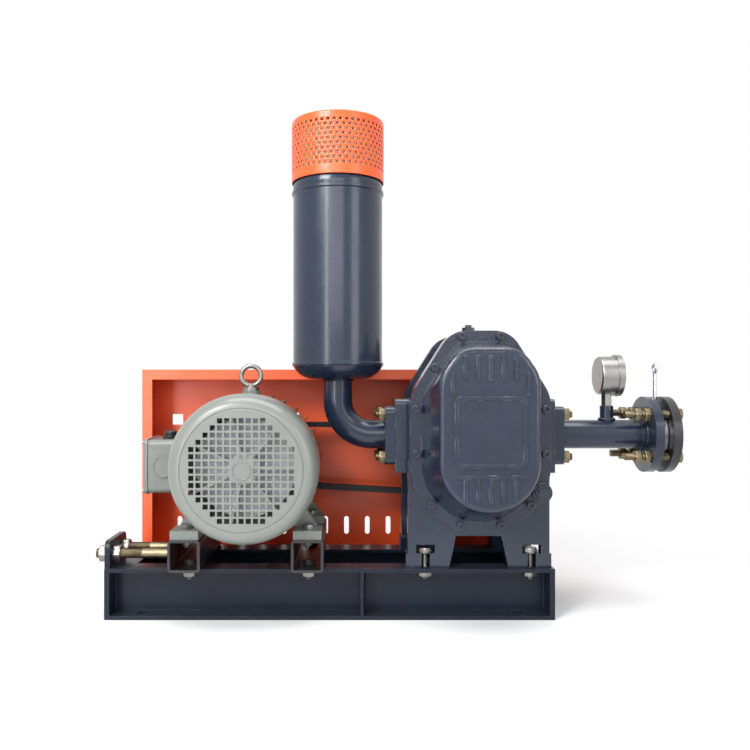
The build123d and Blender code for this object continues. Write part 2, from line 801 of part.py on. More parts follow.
def timing_gear(name, z, start_degrees):
    with BuildPart() as gear:
        with BuildSketch(front_plane(gear_front_y + gear_width, blower_x, z)):
            with BuildLine():
                Polyline(*gear_points(start_degrees), close=True)
            make_face()
            Circle(journal_radius + seat_gap, mode=Mode.SUBTRACT)
        extrude(amount=gear_width)
        for face_y in (gear_front_y + 6, gear_front_y + gear_width):
            with BuildSketch(front_plane(face_y, blower_x, z)):
                Circle(pitch_radius - 10)
                Circle(journal_radius + 10, mode=Mode.SUBTRACT)
            extrude(amount=6, mode=Mode.SUBTRACT)
        with BuildSketch(front_plane(gear_front_y + gear_width, blower_x, z)):
            with PolarLocations((pitch_radius + journal_radius) / 2, 6):
                Circle(6)
        extrude(amount=gear_width, mode=Mode.SUBTRACT)
    finish(gear, name)


tooth_degrees = 360 / round(rotor_centres / gear_module)
timing_gear("drive_timing_gear", drive_z, 90)
timing_gear("driven_timing_gear", driven_z, -90 + tooth_degrees / 2)


def lock_nut(name, z):
    with BuildPart() as nut:
        hex_nut(front_plane(gear_front_y, blower_x, z), 46, journal_radius + seat_gap,
                shaft_nut_thickness)
    finish(nut, name)


lock_nut("drive_gear_nut", drive_z)
lock_nut("driven_gear_nut", driven_z)

# Gear cover: bolted rim with a deep tapered bulge, ribs and a bare pad on its face
cover_back_y = -plate_end
cover_rim_y = cover_back_y - cover_flange_thickness
cover_face_y = cover_rim_y - bulge_reach
cover_bolts = [(101.2, 45), (101.2, -25), (72, 110), (30, 159), (77.6, -104), (31.3, -135.3)]


def cover_section(y, shape, inset):
    with BuildSketch(front_plane(y, blower_x, port_z)) as section:
        cover_outline(shape, inset)
    return section.sketch


with BuildPart() as gear_cover:
    inner_inset = cover_flange_width + bulge_wall
    extrude(cover_section(cover_back_y, rim_shape, 0), amount=cover_flange_thickness)
    loft([cover_section(cover_rim_y, rim_shape, cover_flange_width),
          cover_section(cover_face_y, face_shape, 0)])
    fillet(gear_cover.faces().sort_by(Axis.Y)[0].edges(), 8)
    extrude(cover_section(cover_back_y, rim_shape, inner_inset),
            amount=cover_flange_thickness, mode=Mode.SUBTRACT)
    loft([cover_section(cover_rim_y, rim_shape, inner_inset),
          cover_section(cover_face_y + bulge_wall, face_shape, bulge_wall)],
         mode=Mode.SUBTRACT)
    rib_pitch = 18.4
    rib_width = 4.6
    rib_relief = 4
    with BuildSketch(front_plane(cover_face_y, blower_x, port_z)):
        for i in range(-2, 3):
            with Locations((i * rib_pitch, 108)):
                Rectangle(rib_width, 36)
            with Locations((i * rib_pitch, -70)):
                Rectangle(rib_width, 38)
        for side in (-1, 1):
            with Locations((side * 3 * rib_pitch, 84)):
                Rectangle(rib_width, 34)
        with Locations((0, -51)):
            Rectangle(6 * rib_pitch + rib_width, rib_width)
    extrude(amount=rib_relief)
    pad_middle_z = 14
    with BuildSketch(front_plane(cover_face_y, blower_x, port_z)):
        with Locations((0, pad_middle_z)):
            RectangleRounded(6 * rib_pitch - 6, 104, 10)
    extrude(amount=rib_relief)
    with BuildSketch(front_plane(cover_face_y - rib_relief, blower_x, port_z)):
        with Locations((0, pad_middle_z)):
            RectangleRounded(6 * rib_pitch - 16, 94, 6)
    extrude(amount=-2, mode=Mode.SUBTRACT)
    sight_x = blower_x + 94
    sight_z = port_z - 84
    rod(front_plane(cover_back_y, sight_x, sight_z), 15, cover_flange_thickness + 12)
    for side in (-1, 1):
        for x, z in cover_bolts:
            bore(front_plane(cover_back_y, blower_x + side * x, port_z + z), 4.4,
                 cover_flange_thickness)
finish(gear_cover, "gear_cover")

with BuildPart() as gear_cover_bolts:
    for side in (-1, 1):
        for x, z in cover_bolts:
            rod(front_plane(cover_back_y, blower_x + side * x, port_z + z), 4,
                cover_flange_thickness)
            rod(front_plane(cover_rim_y, blower_x + side * x, port_z + z), 6.5, 7)
finish(gear_cover_bolts, "gear_cover_bolts")

with BuildPart() as oil_sight_plug:
    sight_face_y = cover_rim_y - 12
    hexagon(front_plane(sight_face_y, sight_x, sight_z), 22, 4)
    rod(front_plane(sight_face_y - 4, sight_x, sight_z), 8, 3)
finish(oil_sight_plug, "oil_sight_plug")

with BuildPart() as oil_filler_plug:
    hexagon(Plane((blower_x - 18, cover_rim_y + 9, port_z + cover_top)), 17, 5)
    rod(Plane((blower_x - 18, cover_rim_y + 9, port_z + cover_top + 5)), 5, 4)
finish(oil_filler_plug, "oil_filler_plug")

# Drive end: a blind cap over the upper bearing, a seal housing round the drive shaft
with BuildPart() as bearing_cap:
    rod(front_plane(plate_end + cap_depth, blower_x, driven_z), cap_radius, cap_depth)
    bore(front_plane(plate_end + 4, blower_x, driven_z), rotor_bearing_radius, 4)
finish(bearing_cap, "bearing_cap")

with BuildPart() as seal_housing:
    housing_back = plate_end + seal_housing_depth - 2
    rod(front_plane(plate_end + cap_depth, blower_x, drive_z), cap_radius, cap_depth)
    rod(front_plane(housing_back, blower_x, drive_z), 28, housing_back - plate_end)
    bore(front_plane(housing_back, blower_x, drive_z), 24 + seat_gap, seal_depth)
    bore(front_plane(housing_back, blower_x, drive_z), journal_radius + 1,
         housing_back - plate_end)
finish(seal_housing, "seal_housing")

with BuildPart() as shaft_seal:
    ring(front_plane(housing_back, blower_x, drive_z), 24, journal_radius + run_gap, seal_depth)
finish(shaft_seal, "shaft_seal")

with BuildPart() as blower_foot_bolts:
    for x in (blower_x - blower_bolt_x, blower_x + blower_bolt_x):
        for y in (-foot_bolt_y, foot_bolt_y):
            shank_bottom = base_top - channel_flange_thickness - nut_thickness - 4
            shank_top = base_top + blower_foot_height
            rod(Plane((x, y, shank_bottom)), bolt_m12, shank_top - shank_bottom)
            hexagon(Plane((x, y, shank_top)), 19, head_m12)
            hexagon(Plane((x, y, base_top - channel_flange_thickness - nut_thickness)), 19,
                    nut_thickness)
finish(blower_foot_bolts, "blower_foot_bolts")


# Belt pulleys: two V grooves, rim, web and hub
def pulley(name, x, z, pitch_r, shaft_radius):
    rim_radius = pitch_r + belt_above_pitch + 0.8
    groove_depth = belt_height + 2.2
    narrow = groove_top / 2 - groove_depth * math.tan(math.radians(groove_half_angle))
    with BuildPart() as wheel:
        with BuildSketch(Plane.XY):
            with BuildLine():
                points = [(shaft_radius + seat_gap, 0), (rim_radius, 0)]
                for groove in (0, 1):
                    middle = pulley_edge + groove * groove_pitch
                    points += [(rim_radius, middle - groove_top / 2),
                               (rim_radius - groove_depth, middle - narrow),
                               (rim_radius - groove_depth, middle + narrow),
                               (rim_radius, middle + groove_top / 2)]
                points += [(rim_radius, pulley_width), (shaft_radius + seat_gap, pulley_width)]
                Polyline(*points, close=True)
            make_face()
        revolve(axis=Axis.Y)
        recess = (pulley_width - 12) / 2
        for y in (recess, pulley_width):
            with BuildSketch(front_plane(y)):
                Circle(rim_radius - groove_depth - 7)
                Circle(shaft_radius + 11, mode=Mode.SUBTRACT)
            extrude(amount=recess, mode=Mode.SUBTRACT)
    wheel.part = wheel.part.moved(Location((x, pulley_front_y, z)))
    finish(wheel, name)


pulley("motor_pulley", motor_x, motor_z, motor_pitch_radius, motor_shaft_radius)
pulley("blower_pulley", blower_x, drive_z, blower_pitch_radius, drive_shaft_radius)

# V belts: trapezoid section along two tangent runs and the two wraps
with BuildPart() as v_belts:
    span_x = blower_x - motor_x
    span_z = drive_z - motor_z
    centres = math.hypot(span_x, span_z)
    lean = math.atan2(span_z, span_x)
    open_angle = math.acos((motor_pitch_radius - blower_pitch_radius) / centres)

    def on_pulley(x, z, radius, angle):
        return (x + radius * math.cos(angle), z + radius * math.sin(angle))

    motor_top = on_pulley(motor_x, motor_z, motor_pitch_radius, lean + open_angle)
    motor_low = on_pulley(motor_x, motor_z, motor_pitch_radius, lean - open_angle)
    motor_far = on_pulley(motor_x, motor_z, motor_pitch_radius, lean + math.pi)
    blower_top = on_pulley(blower_x, drive_z, blower_pitch_radius, lean + open_angle)
    blower_low = on_pulley(blower_x, drive_z, blower_pitch_radius, lean - open_angle)
    blower_far = on_pulley(blower_x, drive_z, blower_pitch_radius, lean)
    for groove in (0, 1):
        belt_y = pulley_front_y + pulley_edge + groove * groove_pitch
        with BuildLine(front_plane(belt_y)) as loop:
            Line(motor_top, blower_top)
            ThreePointArc(blower_top, blower_far, blower_low)
            Line(blower_low, motor_low)
            ThreePointArc(motor_low, motor_far, motor_top)
        start = loop.wires()[0] @ 0
        section_plane = Plane(origin=start, x_dir=(0, 1, 0), z_dir=loop.wires()[0] % 0)
        with BuildSketch(section_plane):
            outward = 1 if section_plane.y_dir.Z > 0 else -1
            wide = groove_top / 2 - belt_side_gap
            slim = wide - belt_height * math.tan(math.radians(groove_half_angle))
            inner = outward * (belt_above_pitch - belt_height)
            outer = outward * belt_above_pitch
            with BuildLine():
                Polyline((-wide, outer), (wide, outer), (slim, inner), (-slim, inner),
                         close=True)
            make_face()
        sweep(path=loop.wires()[0])
finish(v_belts, "v_belts")


# Square flanges on the blower ports
def square_flange(x):
    with BuildSketch(side_plane(x, 0, port_z)) as plate:
        RectangleRounded(port_flange_size, port_flange_size, 10)
        with GridLocations(2 * port_bolt_half, 2 * port_bolt_half, 2, 2):
            Circle(bolt_m12 + hole_gap, mode=Mode.SUBTRACT)
    extrude(plate.sketch, amount=port_flange_thickness)


# Suction elbow: flange, long radius bend and riser
with BuildPart() as suction_elbow:
    square_flange(port_flange_left)
    with BuildLine(front_plane(0)) as run:
        Line((port_flange_left + port_flange_thickness, port_z),
             (silencer_x + elbow_radius, port_z))
        RadiusArc((silencer_x + elbow_radius, port_z), (silencer_x, port_z + elbow_radius),
                  elbow_radius)
        Line((silencer_x, port_z + elbow_radius), (silencer_x, neck_z))
    with BuildSketch(side_plane(port_flange_left + port_flange_thickness, 0, port_z)):
        Circle(pipe_radius)
    sweep(path=run.wires()[0])
    with BuildSketch(side_plane(port_flange_left + port_flange_thickness, 0, port_z)):
        Circle(pipe_radius - pipe_wall)
    sweep(path=run.wires()[0], mode=Mode.SUBTRACT)
finish(suction_elbow, "suction_elbow")


def port_bolts(name, flange_x, outward):
    with BuildPart() as bolts:
        for y in (-port_bolt_half, port_bolt_half):
            for z in (port_z - port_bolt_half, port_z + port_bolt_half):
                face = flange_x if outward < 0 else flange_x + port_flange_thickness
                low = face if outward < 0 else face - port_flange_thickness
                rod(side_plane(low, y, z), bolt_m12, port_flange_thickness)
                nut_x = face - nut_thickness if outward < 0 else face
                hexagon(side_plane(nut_x, y, z), 19, nut_thickness)
                tip_x = face - nut_thickness - 5 if outward < 0 else face + nut_thickness
                rod(side_plane(tip_x, y, z), bolt_m12, 5)
    finish(bolts, name)


port_bolts("suction_flange_studs", port_flange_left, -1)
port_bolts("discharge_flange_studs", port_flange_right - port_flange_thickness, 1)

# Silencer drum: domed ends, rolled beads and an intake tube
with BuildPart() as silencer_drum:
    with BuildSketch(Plane.XZ) as drum_section:
        with BuildLine():
            Polyline((pipe_radius - pipe_wall, neck_z), (pipe_radius, neck_z),
                     (pipe_radius + 2, neck_z + 4))
            ThreePointArc((pipe_radius + 2, neck_z + 4), (silencer_radius - 14, neck_z + 8),
                          (silencer_radius, body_bottom_z))
            Polyline((silencer_radius, body_bottom_z), (silencer_radius, body_top_z))
            ThreePointArc((silencer_radius, body_top_z), (silencer_radius - 5, shoulder_z - 9),
                          (silencer_radius - 16, shoulder_z))
            Polyline((silencer_radius - 16, shoulder_z), (intake_radius, shoulder_z),
                     (intake_radius, shoulder_z + 20), (intake_radius - 3, shoulder_z + 20),
                     (intake_radius - 3, shoulder_z - silencer_wall),
                     (silencer_radius - 18, shoulder_z - silencer_wall))
            Polyline((silencer_radius - 18, shoulder_z - silencer_wall),
                     (silencer_radius - silencer_wall, body_top_z),
                     (silencer_radius - silencer_wall, body_bottom_z + 2),
                     (silencer_radius - 18, neck_z + 13),
                     (pipe_radius - pipe_wall, neck_z + 8), (pipe_radius - pipe_wall, neck_z))
        make_face()
        for bead_z in (body_bottom_z + bead_width / 2, body_top_z - bead_width / 2):
            with BuildLine():
                Polyline((silencer_radius - 1, bead_z - bead_width / 2),
                         (silencer_radius + bead_rise, bead_z - bead_width / 4),
                         (silencer_radius + bead_rise, bead_z + bead_width / 4),
                         (silencer_radius - 1, bead_z + bead_width / 2), close=True)
            make_face()
    revolve(axis=Axis.Z)
silencer_drum.part = silencer_drum.part.moved(Location((silencer_x, 0, 0)))
finish(silencer_drum, "silencer_drum")

# Filter cap: an open-bottomed basket over the intake
with BuildPart() as filter_cap:
    rod(Plane((silencer_x, 0, cap_bottom_z)), filter_cap_radius, cap_top_z - cap_bottom_z)
    fillet(filter_cap.edges().group_by(Axis.Z)[-1], 3)
    bore(Plane((silencer_x, 0, cap_bottom_z)), filter_cap_radius - filter_cap_wall,
         cap_top_z - cap_bottom_z - filter_cap_wall)
finish(filter_cap, "filter_cap")

with BuildPart() as filter_element:
    ring(Plane((silencer_x, 0, shoulder_z)), element_radius,
         element_radius - element_thickness, cap_top_z - filter_cap_wall - shoulder_z - 0.3)
finish(filter_element, "filter_element")

# Discharge pipe: square port flange, straight pipe, gauge socket and round flange
bolt_angles = (45, 135, 225, 315)


def flange_holes(plane):
    with BuildSketch(plane) as holes:
        with PolarLocations(flange_pcd / 2, 4, start_angle=45):
            Circle(flange_hole)
    extrude(holes.sketch, amount=flange_thickness, mode=Mode.SUBTRACT)


with BuildPart() as discharge_pipe:
    square_flange(port_flange_right - port_flange_thickness)
    rod(side_plane(port_flange_right, 0, port_z), pipe_radius,
        first_flange_x - port_flange_right)
    rod(side_plane(first_flange_x, 0, port_z), flange_radius, flange_thickness)
    rod(side_plane(first_flange_x - 8, 0, port_z), pipe_radius + 4, 8)
    rod(Plane((socket_x, 0, port_z)), socket_radius, socket_top_z - port_z)
    bore(side_plane(blower_x, 0, port_z), port_bore, outlet_x - blower_x)
    bore(Plane((socket_x, 0, port_z)), 6, socket_top_z - port_z)
    flange_holes(side_plane(first_flange_x, 0, port_z))
finish(discharge_pipe, "discharge_pipe")

with BuildPart() as outlet_flange:
    rod(side_plane(outlet_x, 0, port_z), flange_radius, flange_thickness)
    bore(side_plane(outlet_x, 0, port_z), slip_on_bore, flange_thickness)
    flange_holes(side_plane(outlet_x, 0, port_z))
finish(outlet_flange, "outlet_flange")

with BuildPart() as flange_gaskets:
    for x in (valve_x - gasket, valve_x + valve_body_width):
        ring(side_plane(x, 0, port_z), valve_body_radius, gasket_bore, gasket)
finish(flange_gaskets, "flange_gaskets")

# Wafer check valve: seat ring, hinged flap, pin and lifting eye
seat_width = 4
flap_face_x = valve_x + seat_width + 0.3
pivot_x = flap_face_x + flap_thickness + 1.2
pivot_z = port_z + flap_pivot_rise
with BuildPart() as check_valve_body:
    ring(side_plane(valve_x, 0, port_z), valve_body_radius, port_bore, valve_body_width)
    ring(side_plane(valve_x, 0, port_z), port_bore, valve_seat_radius, seat_width)
    eye_foot_z = port_z + valve_body_radius - 2
    rod(Plane((valve_x + valve_body_width / 2, 0, eye_foot_z)), 3, 66)
    with Locations(Location((valve_x + valve_body_width / 2, 0, eye_foot_z + 71), (0, 90, 0))):
        Torus(7, 2.4)
    bore(front_plane(valve_body_radius, pivot_x, pivot_z), flap_pin_radius + seat_gap,
         2 * valve_body_radius)
finish(check_valve_body, "check_valve_body")

with BuildPart() as flap_pin:
    rod(front_plane(24, pivot_x, pivot_z), flap_pin_radius, 48)
finish(flap_pin, "flap_pin")

with BuildPart() as check_flap:
    rod(side_plane(flap_face_x, 0, port_z), flap_radius, flap_thickness)
    with Locations((flap_face_x, 0, pivot_z - 2.6)):
        Box(flap_thickness, 10, 5, align=(Align.MIN, Align.CENTER, Align.CENTER))
    rod(front_plane(5, pivot_x, pivot_z), 2.5, 10)
    bore(front_plane(7, pivot_x, pivot_z), flap_pin_radius + run_gap, 14)
finish(check_flap, "check_flap")

with BuildPart() as flange_bolts:
    for angle in bolt_angles:
        y = flange_pcd / 2 * math.cos(math.radians(angle))
        z = port_z + flange_pcd / 2 * math.sin(math.radians(angle))
        tail_x = first_flange_x - bolt_tail
        rod(side_plane(tail_x, y, z), flange_bolt, outlet_face_x - tail_x)
        hexagon(side_plane(outlet_face_x, y, z), 19, head_m12)
finish(flange_bolts, "flange_bolts")

with BuildPart() as flange_nuts:
    for angle in bolt_angles:
        y = flange_pcd / 2 * math.cos(math.radians(angle))
        z = port_z + flange_pcd / 2 * math.sin(math.radians(angle))
        for x in (first_flange_x - nut_thickness, first_flange_x - 26):
            hex_nut(side_plane(x, y, z), 20, flange_bolt + seat_gap, nut_thickness)
finish(flange_nuts, "flange_nuts")

# Pressure gauge facing along the pipe
bezel_x = gauge_back_x + gauge_depth
stem_top_z = gauge_z - gauge_radius + 4
with BuildPart() as gauge_case:
    rod(side_plane(gauge_back_x, 0, gauge_z), gauge_radius, gauge_depth)
    fillet(gauge_case.faces().sort_by(Axis.X)[0].edges(), 4)
    rod(side_plane(bezel_x, 0, gauge_z), bezel_radius, bezel_width)
    bore(side_plane(bezel_x - 2, 0, gauge_z), gauge_radius - 1, bezel_width + 2)
    hexagon(Plane((socket_x, 0, socket_top_z)), 15, stem_top_z - socket_top_z)
    rod(Plane((socket_x, 0, socket_top_z - 12)), 6 - seat_gap, 12)
finish(gauge_case, "gauge_case")

with BuildPart() as gauge_dial:
    rod(side_plane(bezel_x - 2, 0, gauge_z), gauge_radius - 1 - seat_gap, 1.5)
    rod(side_plane(bezel_x - 0.5, 0, gauge_z), 1, 3.5)
finish(gauge_dial, "gauge_dial")

with BuildPart() as gauge_glass:
    rod(side_plane(bezel_x + bezel_width - 4, 0, gauge_z), gauge_radius - 1 - seat_gap, 2)
finish(gauge_glass, "gauge_glass")

with BuildPart() as gauge_needle:
    needle_x = bezel_x + 0.5
    rod(side_plane(needle_x, 0, gauge_z), 3.2, 1.6)
    with BuildSketch(side_plane(needle_x + 0.3, 0, gauge_z)):
        with BuildLine():
            Polyline((-1.8, -9), (1.8, -9), (0.5, 24), (-0.5, 24), close=True)
        make_face()
    extrude(amount=0.8)
    bore(side_plane(needle_x, 0, gauge_z), 1 + run_gap, 1.6)
gauge_needle.part = gauge_needle.part.rotate(Axis((0, 0, gauge_z), (1, 0, 0)), 135)
finish(gauge_needle, "gauge_needle")

# Belt guard: folded tray open towards the motor, with a return lip
with BuildPart() as belt_guard:
    guard_middle = (guard_left + guard_right) / 2
    guard_width = guard_right - guard_left
    guard_height = guard_top - guard_bottom
    with Locations((guard_middle, guard_front_y, guard_bottom)):
        Box(guard_width, guard_depth, guard_height, align=(Align.CENTER, Align.MIN, Align.MIN))
    with Locations((guard_middle, guard_front_y + guard_sheet, guard_bottom + guard_sheet)):
        Box(guard_width - 2 * guard_sheet, guard_depth - 2 * guard_sheet,
            guard_height - 2 * guard_sheet,
            align=(Align.CENTER, Align.MIN, Align.MIN), mode=Mode.SUBTRACT)
    with Locations((guard_middle, guard_front_y, guard_bottom + guard_lip)):
        Box(guard_width - 2 * guard_lip, guard_sheet, guard_height - 2 * guard_lip,
            align=(Align.CENTER, Align.MIN, Align.MIN), mode=Mode.SUBTRACT)
    back_y = guard_front_y + guard_depth
    with BuildSketch(front_plane(back_y)):
        for i in range(slot_count):
            with Locations((guard_left + 50 + i * slot_pitch, guard_bottom + 60)):
                SlotOverall(slot_length, slot_width, rotation=90)
        with Locations((guard_left + 46, guard_top - 94)):
            Rectangle(guard_window, guard_window)
    extrude(amount=guard_sheet, mode=Mode.SUBTRACT)
    guard_bolt_x = [i * guard_bolt_pitch for i in (-2, -1, 0, 1, 2)]
    guard_bolt_z = guard_bottom + guard_lip / 2
    for x in guard_bolt_x:
        bore(front_plane(guard_front_y + guard_sheet, x, guard_bolt_z), 4.4, guard_sheet)
finish(belt_guard, "belt_guard")

with BuildPart() as guard_bolts:
    for x in guard_bolt_x:
        head_y = guard_front_y + guard_sheet + 5.5
        hexagon(front_plane(head_y, x, guard_bolt_z), 13, 5.5)
        rod(front_plane(guard_front_y + guard_sheet, x, guard_bolt_z), 4, guard_sheet)
finish(guard_bolts, "guard_bolts")
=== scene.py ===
import bmesh
import bpy
import json
import math
from mathutils import Matrix, Vector

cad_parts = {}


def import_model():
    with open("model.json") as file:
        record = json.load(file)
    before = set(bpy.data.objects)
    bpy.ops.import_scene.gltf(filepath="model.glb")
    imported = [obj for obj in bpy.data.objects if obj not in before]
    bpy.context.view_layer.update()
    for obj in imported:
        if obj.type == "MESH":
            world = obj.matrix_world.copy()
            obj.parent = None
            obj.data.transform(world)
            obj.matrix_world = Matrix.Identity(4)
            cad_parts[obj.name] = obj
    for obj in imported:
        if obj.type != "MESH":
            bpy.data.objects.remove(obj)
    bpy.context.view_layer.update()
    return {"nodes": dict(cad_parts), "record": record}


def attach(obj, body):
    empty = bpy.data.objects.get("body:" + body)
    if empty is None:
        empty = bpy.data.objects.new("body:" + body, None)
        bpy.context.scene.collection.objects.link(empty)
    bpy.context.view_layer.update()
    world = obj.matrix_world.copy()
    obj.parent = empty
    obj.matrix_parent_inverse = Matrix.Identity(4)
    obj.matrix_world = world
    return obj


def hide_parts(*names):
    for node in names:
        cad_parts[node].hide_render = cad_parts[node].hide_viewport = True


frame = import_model()
MM = 0.001

# Sizes in millimetres, as in the solids
MOTOR = (-129.0, 242.0)
BLOWER_X = 236.0
PORT_Z = 286.0
DRUM_X = 12.0
ROD_Z = 100.0
ROD_YS = (-71.0, -19.0)
ROD_TIP_X = -372
ROD_THREAD_LENGTH = 72
ROD_NUT_XS = (-367, -346)
RAIL_XS = (-224.0, -34.0)
RAIL_FLOOR_Z = 84.0
RAIL_BOLT_YS = (-74, 74)
FRAME_FLANGE_Z = 74.0
FOOT_YS = (-95.0, 45.0)
MOTOR_FOOT_TOP_Z = 144.0
RAIL_ROOF_Z = 126.0
BLOWER_FOOT_XS = (BLOWER_X - 84, BLOWER_X + 84)
BLOWER_FOOT_YS = (-72.0, 72.0)
BLOWER_FOOT_TOP_Z = 102.0
SUCTION_FACE_X = 90.0
DISCHARGE_FACE_X = 382.0
PORT_STUD_OFFSET = 35
FLANGE_BOLT_RADIUS = 49.2
FLANGE_BOLT_TIP_X = 484
FLANGE_BOLT_HEAD_X = 569
FLANGE_NUT_XS = (516, 500)
GUARD_BOLT_XS = (-280, -140, 0, 140, 280)
GUARD_BOLT_Z = 49
GUARD_SHEET_Y = 97
FRAME_SIDE_Y = -58.2
FRAME_END_X = 345.6
COVER_RIM_Y = -102.0
COWL_BACK_Y = -92.0
COWL_FACE_Y = -170.0
CAP_RADIUS = 77.4
CAP_BOTTOM_Z = 707.6
CAP_HOLES_Z = 722.0
CAP_TOP_Z = 809.0
GAUGE_SOCKET_X = 466
GAUGE_Z = 385.0
DIAL_FACE_X = 477.55
DIAL_START_DEG = 225.0
DIAL_SWEEP_DEG = 270.0
BOX_LID_X = -309.0
# Each pair is sideways and upward from the cover's middle, on both sides
COVER_BOLTS = ((101.2, 45), (101.2, -25), (72, 110), (30, 159), (77.6, -104), (31.3, -135.3))


def tree_of(mat):
    mat.use_nodes = True
    return mat.node_tree.nodes, mat.node_tree.links


def noise_node(nodes, links, coords, scale, detail=3.0, stretch=None):
    noise = nodes.new("ShaderNodeTexNoise")
    noise.inputs["Scale"].default_value = scale
    noise.inputs["Detail"].default_value = detail
    if stretch:
        mapping = nodes.new("ShaderNodeMapping")
        mapping.inputs["Scale"].default_value = stretch
        links.new(coords, mapping.inputs["Vector"])
        links.new(mapping.outputs["Vector"], noise.inputs["Vector"])
    else:
        links.new(coords, noise.inputs["Vector"])
    return noise.outputs["Fac"]


def ranged(nodes, links, value, low_in, high_in, low_out, high_out):
    node = nodes.new("ShaderNodeMapRange")
    node.inputs["From Min"].default_value = low_in
    node.inputs["From Max"].default_value = high_in
    node.inputs["To Min"].default_value = low_out
    node.inputs["To Max"].default_value = high_out
    links.new(value, node.inputs["Value"])
    return node.outputs["Result"]


def mixed(nodes, links, factor, first, second):
    mix = nodes.new("ShaderNodeMix")
    mix.data_type = "RGBA"
    links.new(factor, mix.inputs["Factor"])
    for socket, value in (("A", first), ("B", second)):
        target = [s for s in mix.inputs if s.name == socket and s.type == "RGBA"][0]
        if hasattr(value, "is_linked"):
            links.new(value, target)
        else:
            target.default_value = (*value, 1.0)
    return [s for s in mix.outputs if s.type == "RGBA"][0]


def surface(name, color, rough=(0.3, 0.45), metallic=0.0, coat=0.0, coat_rough=0.12, mottle=0.12,
            mottle_scale=9.0, grain=900.0, grain_depth=0.00004, lumps=0.0, lump_scale=90.0,
            edge=0.0006, edge_wear_and_highlight=None, dust=None, stretch=None, specular=0.5):
    """A painted, cast or plated surface with colour drift, uneven gloss, fine grain and soft edges."""
    mat = bpy.data.materials.new(name)
    nodes, links = tree_of(mat)
    shader = nodes["Principled BSDF"]
    shader.inputs["Metallic"].default_value = metallic
    shader.inputs["Coat Weight"].default_value = coat
    shader.inputs["Coat Roughness"].default_value = coat_rough
    shader.inputs["Specular IOR Level"].default_value = specular
    coords = nodes.new("ShaderNodeTexCoord").outputs["Object"]
    drift = noise_node(nodes, links, coords, mottle_scale, 4.0, stretch)
    drift = ranged(nodes, links, drift, 0.3, 0.7, 0.0, 1.0)
    darker = tuple(c * (1 - mottle) for c in color)
    lighter = tuple(min(1.0, c * (1 + mottle)) for c in color)
    tint = mixed(nodes, links, drift, darker, lighter)
    bevel = nodes.new("ShaderNodeBevel")
    bevel.samples = 4
    bevel.inputs["Radius"].default_value = edge
    # Edges lighten towards the given colour: worn paint, and where that colour is strong, as on the
    # blue casting, also a painted highlight on the edges.
    if edge_wear_and_highlight:
        shape = nodes.new("ShaderNodeNewGeometry")
        dot = nodes.new("ShaderNodeVectorMath")
        dot.operation = "DOT_PRODUCT"
        links.new(bevel.outputs["Normal"], dot.inputs[0])
        links.new(shape.outputs["Normal"], dot.inputs[1])
        edge_wear_and_highlight_mask = ranged(nodes, links, dot.outputs["Value"], 0.97, 0.75, 0.0, 0.85)
        patches = noise_node(nodes, links, coords, 60.0, 5.0)
        patches = ranged(nodes, links, patches, 0.48, 0.62, 0.0, 1.0)
        both = nodes.new("ShaderNodeMath")
        both.operation = "MULTIPLY"
        links.new(edge_wear_and_highlight_mask, both.inputs[0])
        links.new(patches, both.inputs[1])
        tint = mixed(nodes, links, both.outputs["Value"], tint, edge_wear_and_highlight)
    if dust:
        shape = nodes.new("ShaderNodeNewGeometry")
        split = nodes.new("ShaderNodeSeparateXYZ")
        links.new(shape.outputs["Normal"], split.inputs["Vector"])
        settled = ranged(nodes, links, split.outputs["Z"], 0.6, 1.0, 0.0, 0.25)
        tint = mixed(nodes, links, settled, tint, dust)
    links.new(tint, shader.inputs["Base Color"])
    gloss = noise_node(nodes, links, coords, mottle_scale * 3.1, 5.0, stretch)
    links.new(ranged(nodes, links, gloss, 0.3, 0.7, rough[0], rough[1]), shader.inputs["Roughness"])
    fine = noise_node(nodes, links, coords, grain, 2.0, stretch)
    bump = nodes.new("ShaderNodeBump")
    bump.inputs["Strength"].default_value = 1.0
    bump.inputs["Distance"].default_value = grain_depth
    links.new(fine, bump.inputs["Height"])
    links.new(bevel.outputs["Normal"], bump.inputs["Normal"])
    last = bump
    if lumps:
        lump = noise_node(nodes, links, coords, lump_scale, 3.0)
        second = nodes.new("ShaderNodeBump")
        second.inputs["Strength"].default_value = 1.0
        second.inputs["Distance"].default_value = lumps
        links.new(lump, second.inputs["Height"])
        links.new(last.outputs["Normal"], second.inputs["Normal"])
        last = second
    links.new(last.outputs["Normal"], shader.inputs["Normal"])
    return mat


def clear_glass(name):
    mat = bpy.data.materials.new(name)
    nodes, links = tree_of(mat)
    shader = nodes["Principled BSDF"]
    shader.inputs["Transmission Weight"].default_value = 1.0
    shader.inputs["IOR"].default_value = 1.45
    coords = nodes.new("ShaderNodeTexCoord").outputs["Object"]
    smear = noise_node(nodes, links, coords, 60.0, 4.0)
    links.new(ranged(nodes, links, smear, 0.4, 0.8, 0.02, 0.10), shader.inputs["Roughness"])
    return mat


